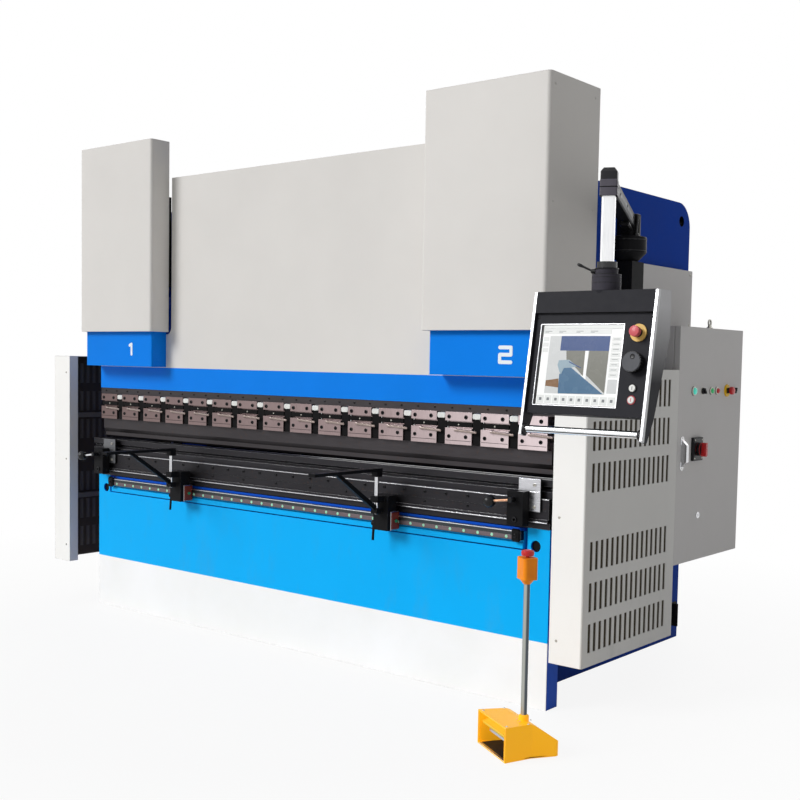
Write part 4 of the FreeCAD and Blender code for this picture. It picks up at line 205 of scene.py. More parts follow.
def plastic(name, colour, rough=0.4, grain=0.15, scale=900.0, coat=0.0, alight=0.0, tone=0.1):
    """Moulded plastic or rubber with a fine grain and slightly rubbed edges."""
    n = Nodes(bpy.data.materials.new(name))
    colour = linear(colour)
    cloud = n.noise(22.0, 4.0)
    normal, mask = n.edges(0.001)
    base = n.mix(n.product(mask, 0.25), n.cloudy(cloud, colour, tone), scaled(colour, 1.4, 0.03))
    n.shade(Base_Color=base, Roughness=n.ramp(cloud, 0.3, 0.7, rough - 0.05, rough + 0.08),
            Normal=n.bump(n.noise(scale, 2.0), grain, 0.0003, normal), Specular_IOR_Level=0.25,
            Coat_Weight=coat)
    if alight:
        n.shade(Emission_Color=(*colour, 1), Emission_Strength=alight)
    return n.material


def two_tone(name, upper, lower, height, **more):
    """Paint in two colours that meet at a masked line at one height."""
    n = Nodes(painted(name, upper, **more))
    base = n.shader.inputs["Base Color"].links[0].from_socket
    lower, soft = linear(lower), 0.0006
    low = n.mix(n.ramp(n.noise(2.3, 4.0), 0.3, 0.7), scaled(lower, 0.95), scaled(lower, 1.05))
    n.shade(Base_Color=n.mix(n.ramp(n.axis(2), height - soft, height + soft), low, base))
    return n.material


def repaint(n, share, colour, metal=None):
    """Another colour, and metal or paint, where the share is 1."""
    base = n.shader.inputs["Base Color"].links[0].from_socket
    n.shade(Base_Color=n.mix(share, base, linear(colour)))
    if metal is not None:
        n.shade(Metallic=n.ramp(share, 0.0, 1.0, 1 - metal, metal))


COVER, WHITE = (221, 218, 214), (253, 253, 251)
BRIGHT_BLUE, STRIP_BLUE, FRAME_BLUE = (1, 179, 252), (1, 127, 234), (8, 62, 164)
RAM_LINE, BED_LINE = 1.431, 0.294

M = {
    "cover": painted("cover_paint", COVER, rough=0.42, tone=0.03, dust=0.05, radius=0.004),
    "guard": painted("guard_paint", (222, 221, 218), rough=0.45, tone=0.03, dust=0.2, radius=0.003),
    # painted light: the guards' front faces in a lighter copy of the guard paint
    "guard_front_painted_light": painted("guard_front_painted_light", (250, 249, 246), rough=0.45, tone=0.02, dust=0.1, radius=0.003),
    # painted shade: the guards' inner skins and stiffeners darker than the guard paint
    "guard_inside_shade": painted("guard_inside_shade", (120, 114, 104), rough=0.7, shine=0.05, dust=0.0),
    # painted shade: dark sheet behind the slots and inside the guards
    "shade_lining": painted("guard_shade_lining", (76, 68, 58), rough=0.8, shine=0.05, dust=0.0),
    "slot_shade": painted("slot_shade", (104, 98, 88), rough=0.7, shine=0.05, dust=0.0),
    "filler": painted("filler_paint", (14, 13, 14), rough=0.6, shine=0.08, dust=0.0),
    "cabinet": painted("cabinet_paint", (214, 212, 211), rough=0.5, peel=0.3, tone=0.03, dust=0.1),
    "ram": two_tone("ram_paint", COVER, STRIP_BLUE, RAM_LINE, rough=0.36, tone=0.03, shine=0.1),
    "strip": painted("strip_paint", STRIP_BLUE, rough=0.4, tone=0.04, shine=0.08, edge=(90, 150, 210)),
    "bed": two_tone("bed_paint", BRIGHT_BLUE, WHITE, BED_LINE, rough=0.4, dust=0.16, tone=0.03, shine=0.1,
                    edge=(120, 160, 210)),
    "carrier": painted("carrier_paint", BRIGHT_BLUE, rough=0.4, tone=0.03, shine=0.1),
    "frame": painted("frame_paint_and_hole_shade", FRAME_BLUE, rough=0.4, tone=0.08, shine=0.02, edge=(100, 108, 124),
                     dust=0.15),
    "black": painted("black_paint", (26, 26, 28), rough=0.42, shine=0.05, tone=0.15, edge=(110, 110, 112),
                     dust=0.25),
    "console": painted("console_paint", (35, 35, 40), rough=0.5, peel=0.5, tone=0.06, dust=0.0,
                       radius=0.0015, shine=0.1),
    "orange": painted("pedal_paint_and_glow", (255, 186, 30), rough=0.34, coat=0.1, tone=0.04, dust=0.05, shine=0.12,
                      edge=(160, 130, 90)),
    "flap": painted("pedal_flap", (240, 206, 66), rough=0.4, tone=0.05),
    "blue_part": painted("blue_part", (40, 96, 170), rough=0.35, tone=0.06),
    "numeral": painted("numeral_paint", (238, 246, 250), rough=0.4, tone=0.02, dust=0.0),
    "tool": machined("tool_steel", (66, 63, 65), rough=0.4, spots=0.25),
    "holder": machined("holder_steel", (50, 49, 52), rough=0.42, wear=(190, 190, 193), spots=0.2),
    "rail": machined("rail_steel", (66, 70, 72), rough=0.34, wear=(190, 196, 196)),
    "lower_strip": machined("rail_strip", (112, 100, 104), rough=0.4),
    "clamp": machined("clamp_steel", (158, 140, 140), rough=0.34, stretch=(40, 40, 1), scale=22.0),
    "lever": machined("lever_steel", (150, 136, 130), rough=0.4, stretch=(1, 40, 40), scale=22.0),
    "bright": machined("bright_steel", (200, 200, 204), rough=0.26, stretch=(1, 60, 60)),
    "dull": machined("dull_steel", (108, 109, 112), rough=0.4, stretch=(1, 60, 60)),
    "chrome": machined("chrome_plate", (220, 221, 224), rough=0.13, stretch=(1, 1, 40), scale=30.0),
    "silver": machined("silver_edge", (214, 215, 218), rough=0.3, stretch=(30, 30, 1), scale=26.0),
    "copper": machined("copper_rod", (196, 150, 120), rough=0.3, stretch=(1, 60, 60), scale=20.0),
    "handle": machined("handle_chrome", (238, 239, 241), rough=0.2, stretch=(60, 1, 1), scale=20.0),
    "post": machined("post_aluminium", (244, 245, 248), rough=0.34, stretch=(60, 60, 1), scale=20.0),
    "zinc": machined("zinc_screws", (178, 176, 168), rough=0.33, stretch=(1, 1, 1), scale=90.0),
    "dark_screw": machined("black_screws", (38, 38, 40), rough=0.38, stretch=(1, 1, 1), scale=120.0),
    "rubber": plastic("black_rubber", (24, 24, 25), rough=0.6, grain=0.4, scale=500.0),
    "knob": plastic("knob_plastic", (20, 20, 22), rough=0.28, grain=0.05),
    "black_plastic": plastic("black_plastic", (30, 30, 33), rough=0.45),
    "red": plastic("red_plastic", (204, 28, 34), rough=0.3, grain=0.05, coat=0.3),
    "faded_red": plastic("faded_red", (206, 92, 98), rough=0.35, grain=0.05, coat=0.1),
    "yellow": plastic("yellow_plastic", (245, 196, 20), rough=0.38, grain=0.05),
    "tan": plastic("tan_ring", (232, 190, 105), rough=0.42, grain=0.05),
    "green": plastic("green_lamp", (20, 170, 96), rough=0.22, grain=0.02, coat=0.6, alight=0.25),
    "lens": plastic("lens_cyan", (60, 214, 190), rough=0.14, grain=0.0, coat=0.8, alight=0.35),
    "white_button": plastic("white_button", (226, 226, 222), rough=0.3, grain=0.03),
    "wiper": plastic("wiper_red", (126, 52, 40), rough=0.5, grain=0.3),
    "green_cap": plastic("green_cap", (44, 150, 110), rough=0.4),
    "mint": plastic("mint_plugs", (160, 222, 188), rough=0.4, grain=0.05),
    "collar": plastic("collar_grey", (84, 81, 90), rough=0.45),
    "glass": plastic("screen_frame", (14, 14, 16), rough=0.12, grain=0.0, coat=0.5),
    "dial_face": plastic("dial_face", (58, 60, 66), rough=0.38, grain=0.1),
    "duct": plastic("duct_grey", (150, 152, 154), rough=0.5),
    "post_and_box": plastic("post_and_box", (255, 142, 6), rough=0.36, grain=0.08),
}
SCREEN_TINTS = {
    "white": (240, 241, 240), "grey": (196, 198, 198), "navy": (40, 68, 120), "body": (112, 112, 104),
    "sheet": (140, 160, 172), "steel": (58, 98, 130), "brown": (122, 88, 56), "key": (218, 220, 218),
    "ink": (120, 124, 126),
}
for tint, shown_as in SCREEN_TINTS.items():
    M["ui_" + tint] = plastic("ui_" + tint, shown_as, rough=0.25, grain=0.0, alight=0.12, tone=0.015)

FINISHED_NODES = {
    "frame": "side_frame_left side_frame_right cross_beams oil_tank",
    "bed": "bed_plate",
    "carrier": "rail_carrier",
    "rail": "guide_rail",
    "ram": "ram_plate",
    "strip": "ram_box_left ram_box_right",
    "cover": "cylinder_cover_left cylinder_cover_right",
    "guard": "guard_left guard_right",
    "cabinet": "cabinet_box cabinet_door service_panel",
    "tool": "tool_holder punch",
    "clamp": "tool_clamps",
    "holder": "die_holder die back_gauge",
    "bright": "ram_guides",
    "chrome": "piston_rods support_rod_left support_rod_right door_handle",
    "black": "pump_motor cylinder_left cylinder_right table_clamps support_carriage_left pendant_column "
             "support_carriage_right support_arm_left support_arm_right guard_brackets foot_pedal",
    "knob": "clamp_lever_left clamp_lever_right pendant_dial",
    "black_plastic": "switch_base cabinet_controls pendant_arm",
    "red": "main_switch pedal_stop",
    "console": "pendant_console",
    "handle": "pendant_handle",
    "post": "pendant_post",
    "tan": "pendant_stop_ring",
    "faded_red": "pendant_stop",
    "orange": "pedal_housing",
    "post_and_box": "pedal_post",
}
for finish, nodes in FINISHED_NODES.items():
    for node_name in nodes.split():
        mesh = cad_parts[node_name].data
        mesh.materials.clear()
        mesh.materials.append(M[finish])

POST_FOOT, STOP_BOX_FOOT = 1.8775, 0.6612


def clamp_shade_and_highlight():
    """Painted shade and highlight: clamps that darken to the left end and lighten to the right."""
    n = Nodes(M["clamp"])
    # painted shade towards the left end; painted highlight towards the right end
    repaint(n, n.ramp(n.axis(0), 0.9, -1.5), (116, 98, 96))
    repaint(n, n.ramp(n.axis(0), 0.6, 1.6, 0.0, 0.8), (226, 210, 212))


def post_paint():
    """Black collar under the pendant's post."""
    n = Nodes(M["post"])
    repaint(n, n.ramp(n.axis(2), POST_FOOT + 0.001, POST_FOOT), (30, 30, 33), metal=0.0)


def stop_post_paint_and_reflections():
    """Chromed rod with light and dark streaks under the pedal's orange stop box; the dark streaks along its
    sides are painted reflections.
    """
    n = Nodes(M["post_and_box"])
    below = n.ramp(n.axis(2), STOP_BOX_FOOT + 0.001, STOP_BOX_FOOT)
    repaint(n, below, (172, 174, 168), metal=1.0)
    low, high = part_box("pedal_stop")
    aside = n.math("ABSOLUTE", n.ramp(n.axis(0), low.x + 0.012, high.x - 0.012, -1.0, 1.0))
    # painted reflections: the rod darker towards both sides
    repaint(n, n.product(n.ramp(aside, 0.45, 0.75), below), (78, 84, 90))


def handle_painted_reflections():
    """Painted reflections: dark streaks along the chromed handle."""
    low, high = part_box("pendant_handle")
    n = Nodes(M["handle"])
    level = n.ramp(n.axis(2), low.z, high.z, -1.0, 1.0)
    line = n.product(n.ramp(level, -0.62, -0.54), n.ramp(level, -0.24, -0.32))
    # painted reflections: dark bands near the top and along the lower side
    repaint(n, n.math("MAXIMUM", n.ramp(level, 0.62, 0.72), line), (52, 60, 62))


def bed_paint():
    """Painted shade: deeper blue on the bed's ends, back and recess, and above the rail in the shade of the
    die holder.
    """
    n = Nodes(M["bed"])
    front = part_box("bed_plate")[0].y
    # painted shade on every face set back from the bed's front
    repaint(n, n.ramp(n.axis(1), front + 0.0026, front + 0.0032), (6, 82, 205))
    n = Nodes(M["carrier"])
    rail_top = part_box("guide_rail")[1].z
    # painted shade on the carrier above the rail
    repaint(n, n.ramp(n.axis(2), rail_top - 0.0040, rail_top - 0.0030), (12, 84, 204))


def frame_paint_and_hole_shade():
    """Painted shade: dark walls of the lifting holes."""
    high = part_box("side_frame_right")[1]
    hole_back, hole_down, hole_radius = 0.101, 0.097, 0.0276
    n = Nodes(M["frame"])
    away = n.math("POWER", n.math("SUBTRACT", n.axis(1), high.y - hole_back), 2.0)
    up = n.math("POWER", n.math("SUBTRACT", n.axis(2), high.z - hole_down), 2.0)
    reach = n.math("SQRT", n.math("ADD", away, up))
    # painted shade inside the lifting holes
    repaint(n, n.ramp(reach, hole_radius + 0.0006, hole_radius), (4, 6, 14))


def pedal_paint_and_glow():
    """Black foot under the pedal's housing, and painted light: the orange paint glows a little."""
    n = Nodes(M["orange"])
    repaint(n, n.ramp(n.axis(2), 0.0082, 0.0074), (26, 26, 27))
    # painted light: glow on the housing, which is no lamp
    n.shade(Emission_Color=(*linear((255, 180, 30)), 1), Emission_Strength=0.4)


clamp_shade_and_highlight()
post_paint()
stop_post_paint_and_reflections()
handle_painted_reflections()
bed_paint()
frame_paint_and_hole_shade()
pedal_paint_and_glow()


# Places and outlines

def shifted(x, y, z):
    return Matrix.Translation((x, y, z))


def turned(degrees, axis):
    return Matrix.Rotation(math.radians(degrees), 4, axis)


def along(foot, axis):
    """Place at a foot, with its third axis along a direction."""
    return Matrix.Translation(foot) @ Vector(axis).to_track_quat("Z", "Y").to_matrix().to_4x4()


def local(origin, right, up):
    """Place with its own right, up and outward directions."""
    right, up = Vector(right).normalized(), Vector(up).normalized()
    turn = Matrix((right, up, right.cross(up))).transposed()
    return Matrix.Translation(origin) @ turn.to_4x4()


def spin(place):
    """Foot and axis for a turned form on a place."""
    return place.translation, tuple(place.to_3x3() @ Vector(UP))


def spread(first, last, count):
    """Evenly spaced values from the first to the last."""
    return [first + i * (last - first) / (count - 1) for i in range(count)]


def arc(cx, cy, radius, start, sweep, steps):
    """Points of an arc, in degrees."""
    turns = [math.radians(start + sweep * i / steps) for i in range(steps + 1)]
    return [(cx + radius * math.cos(t), cy + radius * math.sin(t)) for t in turns]


def rounded(x0, y0, x1, y1, radius):
    """Outline of a rectangle with round corners."""
    left, right, low, high = x0 + radius, x1 - radius, y0 + radius, y1 - radius
    return (arc(right, high, radius, 0, 90, 4) + arc(left, high, radius, 90, 90, 4)
            + arc(left, low, radius, 180, 90, 4) + arc(right, low, radius, 270, 90, 4))


def stroke(x0, y0, x1, y1, width):
    """Outline of a straight stroke with round ends."""
    lean = math.degrees(math.atan2(y1 - y0, x1 - x0))
    return arc(x1, y1, width / 2, lean - 90, 180, 6) + arc(x0, y0, width / 2, lean + 90, 180, 6)


def border(u0, v0, u1, v1, wide):
    """Four bars that frame a rectangle."""
    return ((u0, v0, u1, v0 + wide), (u0, v1 - wide, u1, v1), (u0, v0 + wide, u0 + wide, v1 - wide),
            (u1 - wide, v0 + wide, u1, v1 - wide))


# Mesh code

class Piece:
    """One joined mesh made of many small forms, each with its own material."""

    def __init__(self, name, body, slot=None):
        self.name, self.body, self.slot = name, body, slot
        self.mesh = bmesh.new()
        self.keys = []

    def add(self, points, faces, key, place=AT_REST):
        if key not in self.keys:
            self.keys.append(key)
        made = [self.mesh.verts.new(place @ Vector(p)) for p in points]
        for face in faces:
            self.mesh.faces.new([made[i] for i in face]).material_index = self.keys.index(key)

    def block(self, low, high, key, chamfer=0.001, place=AT_REST):
        """Block with chamfered edges: each corner has three points, one on each face that meets there."""
        cut = min([chamfer] + [(b - a) * 0.45 for a, b in zip(low, high)])
        corners = list(product((0, 1), repeat=3))
        number = {(corner, axis): 3 * i + axis for i, corner in enumerate(corners) for axis in range(3)}
        points = [[(low, high)[s][i] + (0 if i == axis else cut - 2 * cut * s) for i, s in enumerate(corner)]
                  for corner in corners for axis in range(3)]
        faces = [[number[corner, axis] for axis in range(3)] for corner in corners]

        def at(axis, s, a, b, face):
            """Point of the corner that is at s along one axis and at a and b along the others."""
            corner = [a, b]
            corner.insert(axis, s)
            return number[tuple(corner), face]

        for axis in range(3):
            first, second = [i for i in range(3) if i != axis]
            for s in (0, 1):
                faces.append([at(axis, s, a, b, axis) for a, b in ((0, 0), (1, 0), (1, 1), (0, 1))])
            for a, b in product((0, 1), repeat=2):
                faces.append([at(axis, 0, a, b, first), at(axis, 0, a, b, second),
                              at(axis, 1, a, b, second), at(axis, 1, a, b, first)])
        self.add(points, faces, key, place)

    def lathe(self, profile, key, foot, axis, sides=24):
        """Turned form: profile is (radius, height) or (radius, height, corners) along an axis from a foot."""
        points, rings = [], []
        for radius, height, *corners in profile:
            start = len(points)
            for i in range(sides if radius > 0 else 1):
                turn = 2 * math.pi * i / sides
                part = math.pi / corners[0] if corners else turn
                reach = radius / math.cos(turn % (2 * part) - part) if corners else radius
                points.append((reach * math.cos(turn), reach * math.sin(turn), height))
            rings.append(range(start, len(points)))
        faces = [ring for ring in (rings[0], rings[-1]) if len(ring) > 1]
        for low, high in zip(rings, rings[1:]):
            for i in range(sides):
                j = (i + 1) % sides
                face = (low[i % len(low)], low[j % len(low)], high[j % len(high)], high[i % len(high)])
                faces.append(list(dict.fromkeys(face)))
        self.add(points, faces, key, along(foot, axis))

    def slab(self, outline, low, high, key, place=AT_REST, chamfer=0.0):
        """Flat plate with any outline, between two heights over its place."""
        count = len(outline)
        cx, cy = (sum(p[i] for p in outline) / count for i in (0, 1))
        share = 1 - chamfer / max(math.hypot(x - cx, y - cy) for x, y in outline)
        levels = [(low, 1.0), (high - chamfer, 1.0)] + ([(high, share)] if chamfer else [])
        points = [(cx + (x - cx) * s, cy + (y - cy) * s, z) for z, s in levels for x, y in outline]
        last = len(points) - count
        faces = [range(count), range(last, last + count)]
        for a, i in product(range(0, last, count), range(count)):
            j = (i + 1) % count
            faces.append([a + i, a + j, a + count + j, a + count + i])
        self.add(points, faces, key, place)

    def ring(self, centre, radius, wire, key, sides=28, around=12):
        """Closed round ring of wire, across the X axis."""
        points, faces = [], []
        for i, j in product(range(sides), range(around)):
            a, b = 2 * math.pi * i / sides, 2 * math.pi * j / around
            reach = radius + wire * math.cos(b)
            points.append((reach * math.cos(a), reach * math.sin(a), wire * math.sin(b)))
            k, m = (i + 1) % sides, (j + 1) % around
            faces.append([i * around + j, k * around + j, k * around + m, i * around + m])
        self.add(points, faces, key, along(centre, RIGHT))

    def socket_screw(self, foot, axis, radius, height, key="dark_screw"):
        """Cap screw with a chamfered head and a hexagon socket."""
        r, h = radius, height
        self.lathe([(r, 0), (r, h - r * 0.12), (r * 0.88, h), (r * 0.50, h, 6), (r * 0.46, h - r * 0.7, 6),
                    (0, h - r * 0.7)], key, foot, axis)

    def hex_bolt(self, foot, axis, radius, height):
        """Hexagon head on a washer."""
        r, base, top = radius, 0.002, 0.002 + height
        washer = [(r * 1.55, 0), (r * 1.55, base * 0.8), (r * 1.45, base), (0, base)]
        head = [(r, base, 6), (r, base + height * 0.85, 6), (r * 0.92, top), (0, top)]
        for profile in (washer, head):
            self.lathe(profile, "zinc", foot, axis)

    def pan_screw(self, foot, axis, radius, height, key="zinc"):
        """Low round head with a socket."""
        r, h = radius, height
        self.lathe([(r, 0), (r * 0.98, h * 0.35), (r * 0.8, h * 0.8), (r * 0.5, h), (r * 0.42, h, 6),
                    (r * 0.38, h * 0.3, 6), (0, h * 0.3)], key, foot, axis)

    def done(self):
        """The finished object, riding on its body."""
        bmesh.ops.recalc_face_normals(self.mesh, faces=self.mesh.faces)
        for face in self.mesh.faces:
            face.smooth = True
        for edge in self.mesh.edges:
            edge.smooth = len(edge.link_faces) == 2 and edge.calc_face_angle(0) <= math.radians(32)
        data = bpy.data.meshes.new(self.name)
        self.mesh.to_mesh(data)
        self.mesh.free()
        for key in self.keys:
            data.materials.append(M[key])
        made = bpy.data.objects.new(self.name, data)
        bpy.context.scene.collection.objects.link(made)
        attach(made, self.body)
        return made


# Die holder, guide rail and upper tool clamps

def die_holder_details():
    """Crowning wedges' screws, lock screws and bright lines along the holder."""
    piece = Piece("holder_fittings", "machine", "bright_steel")
    (x0, y0, z0), (x1, _, z1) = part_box("die_holder")
    upper = -0.060
    for i, x in enumerate(spread(x0 + 0.06, x1 - 0.06, 26)):
        piece.socket_screw((x, upper, z0 + 0.110), FRONT, 0.007, 0.004)
        if i % 2 == 0:
            piece.socket_screw((x, upper, z0 + 0.065), FRONT, 0.006, 0.003)
    for face, low, high, proud, key, chamfer in (
            (y0, z0 + 0.0285, z0 + 0.0325, 0.0010, "bright", 0.0004),
            (upper, z1 - 0.004, z1 - 0.001, 0.0010, "bright", 0.0004),
            (upper, z0 + 0.078, z0 + 0.081, 0.0008, "dark_screw", 0.0003)):
        piece.block((x0 + 0.002, face - proud, low), (x1 - 0.002, face, high), key, chamfer)
    piece.done()


def rail_details():
    """Plugs, strips and end stops of the guide rail."""
    piece = Piece("rail_fittings", "machine", "bright_steel")
    (x0, face, z0), (x1, _, z1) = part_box("guide_rail")
    stop = 0.045
    for x in spread(x0 + 0.075, x1 - 0.075, 37):
        piece.lathe([(0.0072, -0.0005), (0.0072, 0.0008), (0.0060, 0.0011), (0, 0.0012)], "mint",
                    (x, face - 0.0003, z0 + 0.011), FRONT)
    for low, high, key in ((z0 + 0.002, z0 + 0.020, "lower_strip"), (z1 - 0.0045, z1 - 0.0010, "silver")):
        piece.block((x0 + stop, face - 0.0006, low), (x1 - stop, face, high), key, 0.0003)
    for left in (x0, x1 - stop):
        piece.block((left, face - 0.012, z0 - 0.008), (left + stop, face + 0.004, z1 + 0.010), "black", 0.007)
        piece.socket_screw((left + stop / 2, face - 0.012, (z0 + z1) / 2), FRONT, 0.008, 0.005)
    piece.done()


def tool_clamp_details():
    """Screws and levers on the sixteen clamps, black fillers between them with a bright button on each."""
    piece = Piece("clamp_fittings", "ram", "clamp_steel")
    (x0, face, z0), (_, _, z1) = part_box("tool_clamps")
    count, pitch, width = 16, 0.2, 0.15
    for i in range(count):
        left = x0 + i * pitch
        for dx in (0.022, 0.117):
            piece.socket_screw((left + dx, face, z1 - 0.022), FRONT, 0.0095, 0.003)
            piece.socket_screw((left + dx, face, z0 + 0.036), FRONT, 0.0090, 0.003)
        pivot = z0 + 0.066
        lean = shifted(left + 0.062, face - 0.009, pivot) @ turned(3, "Y")
        piece.lathe([(0.0085, 0), (0.0085, 0.010), (0.0070, 0.012), (0, 0.012)], "clamp",
                    (left + 0.064, face, pivot), FRONT)
        piece.block((-0.004, -0.004, -0.0055), (0.122, 0.004, 0.0055), "lever", 0.002, lean)
        piece.block((left + 0.004, face - 0.0006, z0 + 0.0165), (left + 0.146, face, z0 + 0.0185), "filler",
                    0.0002)
        piece.block((left + 0.002, face + 0.006, z0 + 0.080), (left + 0.148, face + 0.022, z0 + 0.101),
                    "filler", 0.001)
        piece.pan_screw((left + 0.072, face + 0.006, z0 + 0.0905), FRONT, 0.0042, 0.002)
    front = local((0, face + 0.008, 0), RIGHT, UP)
    for i in range(count - 1):
        left, right = x0 + width + i * pitch, x0 + (i + 1) * pitch
        piece.block((left, face + 0.008, z0 + 0.002), (right, face + 0.020, z1 - 0.004), "filler", 0.001)
        piece.slab(rounded(left + 0.001, z1 - 0.030, right - 0.001, z1 - 0.004, 0.010), 0.0, 0.0078,
                   "white_button", front, 0.003)
    low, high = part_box("tool_holder")
    for i in range(2 * count):
        x = low.x + 0.05 + i * pitch / 2
        piece.socket_screw((x, low.y + 0.0045, high.z - 0.017), FRONT, 0.005, 0.003)
    piece.done()


die_holder_details()
rail_details()
tool_clamp_details()


# Pendant console and its arm

TILT = math.radians(9.7)
HOOD, CHEEK = 0.082, 0.012
PANEL_WIDE, CONTROL_U = 0.504, 0.448
STOP_V, DIAL_V = -0.078, -0.190
console_low, console_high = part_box("pendant_console")
post_low, post_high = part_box("pendant_post")
POST = ((post_low.x + post_high.x) / 2, (post_low.y + post_high.y) / 2)
COLLAR_TOP = console_high.z
CONSOLE_TOP = COLLAR_TOP - 0.086
CONSOLE_BACK = POST[1] + 0.045
FACE_Y = CONSOLE_BACK - 0.098 - HOOD * math.tan(TILT) + 0.014
CONSOLE = local((console_low.x + CHEEK, FACE_Y, CONSOLE_TOP - HOOD), RIGHT,
                (0, math.sin(TILT), math.cos(TILT)))


def on_console(u, v, w=0.0):
    """Place on the console's tilted face, as its foot and axis."""
    return spin(CONSOLE @ shifted(u, v, w))


def cheek_paint_and_light():
    """Silver front edges on the console's cheeks, sides whose silver finish is painted pale at the top and
    darker downwards as a painted reflection, and a greyer collar.
    """
    n = Nodes(M["console"])
    half = PANEL_WIDE / 2
    aside = n.math("ABSOLUTE", n.math("SUBTRACT", n.axis(0), console_low.x + CHEEK + half))
    cheek = n.ramp(aside, half + 0.0002, half + 0.0006)
    outside = n.ramp(aside, half + CHEEK - 0.0010, half + CHEEK - 0.0005)
    face = CONSOLE.translation
    depth = n.math("ADD", n.product(n.math("SUBTRACT", n.axis(1), face.y), -math.cos(TILT)),
                   n.product(n.math("SUBTRACT", n.axis(2), face.z), math.sin(TILT)))
    # painted reflection: the cheeks' sides pale at the top, fading out downwards
    side_light_fade = n.ramp(n.axis(2), CONSOLE_TOP - 0.34, CONSOLE_TOP - 0.06)
    repaint(n, n.product(outside, side_light_fade), (208, 208, 210))
    repaint(n, n.product(cheek, n.ramp(depth, -0.0024, -0.0020)), (236, 237, 239))
    repaint(n, n.ramp(n.axis(2), CONSOLE_TOP + 0.001, CONSOLE_TOP + 0.003), (60, 58, 66))


def screen_picture():
    """Generic drawing of bending tools on the screen, with bars and keys around it and no words."""
    piece = Piece("screen_picture", "console")
    left, right, top, bottom = 0.0385, 0.3835, -0.0475, -0.3525

    def patch(outline, tint, level):
        """Thin patch, with its outline in shares of the screen; a higher level lies on a lower one."""
        points = [(left + a * (right - left), top + b * (bottom - top)) for a, b in outline]
        piece.slab(points[::-1], -0.0026, -0.0023 + 0.00012 * level, "ui_" + tint, CONSOLE)

    def bar(a0, b0, a1, b1, tint, level):
        patch(((a0, b0), (a1, b0), (a1, b1), (a0, b1)), tint, level)

    bar(0, 0, 1, 1, "white", 0)
    bar(0, 0, 1, 0.04, "key", 1)
    bar(0, 0.055, 0.86, 0.11, "key", 1)
    bar(0.0, 0.046, 1, 0.049, "ink", 2)
    for a in (0.02, 0.20, 0.42, 0.60):
        bar(a, 0.073, a + 0.09, 0.079, "ink", 2)
        bar(a, 0.090, a + 0.05, 0.095, "ink", 2)
    bar(0.095, 0.136, 0.85, 0.86, "grey", 1)
    bar(0.24, 0.136, 0.85, 0.32, "navy", 2)
    bar(0.545, 0.32, 0.60, 0.80, "white", 2)
    patch(((0.32, 0.32), (0.56, 0.32), (0.565, 0.636), (0.40, 0.47), (0.335, 0.436)), "body", 3)
    patch(((0.61, 0.32), (0.848, 0.32), (0.848, 0.84), (0.60, 0.62)), "body", 3)
    patch(((0.228, 0.5), (0.24, 0.443), (0.37, 0.436), (0.48, 0.514), (0.40, 0.533), (0.315, 0.539),
           (0.285, 0.621), (0.264, 0.593)), "sheet", 5)
    patch(((0.315, 0.539), (0.407, 0.533), (0.832, 0.85), (0.272, 0.86), (0.264, 0.62)), "steel", 4)
    patch(((0.099, 0.70), (0.26, 0.672), (0.272, 0.786), (0.10, 0.768)), "brown", 3)
    patch(((0.37, 0.452), (0.53, 0.528), (0.53, 0.540), (0.37, 0.466)), "navy", 6)
    for i in range(8):
        b = 0.15 + i * 0.063
        bar(0.875, b, 0.99, b + 0.052, "key", 1)
        bar(0.895, b + 0.020, 0.965, b + 0.026, "ink", 2)
    bar(0.875, 0.67, 0.99, 0.84, "grey", 1)
    for i in range(10):
        a = 0.012 + i * 0.099
        bar(a, 0.885, a + 0.085, 0.985, "key", 1)
        bar(a + 0.026, 0.915, a + 0.058, 0.950, "ink", 2)
    for i in range(3):
        bar(0.012, 0.15 + i * 0.07, 0.082, 0.20 + i * 0.07, "key", 1)
    piece.done()


def push_button(piece, v, mark, bezel):
    """Round white push button in a bezel, with a plain bar on it."""
    place = on_console(CONTROL_U, v)
    piece.lathe([(0.0165, 0), (0.0165, 0.003), (0.0145, 0.0045), (0.0138, 0.0025), (0, 0.0025)], bezel,
                *place, 32)
    piece.lathe([(0.0130, 0.0020), (0.0130, 0.0060), (0.0118, 0.0072), (0, 0.0076)], "white_button",
                *place, 32)
    piece.slab(stroke(-0.0001, -0.005, 0.0001, 0.005, 0.0028), 0.0070, 0.0079, mark,
               CONSOLE @ shifted(CONTROL_U, v, 0))


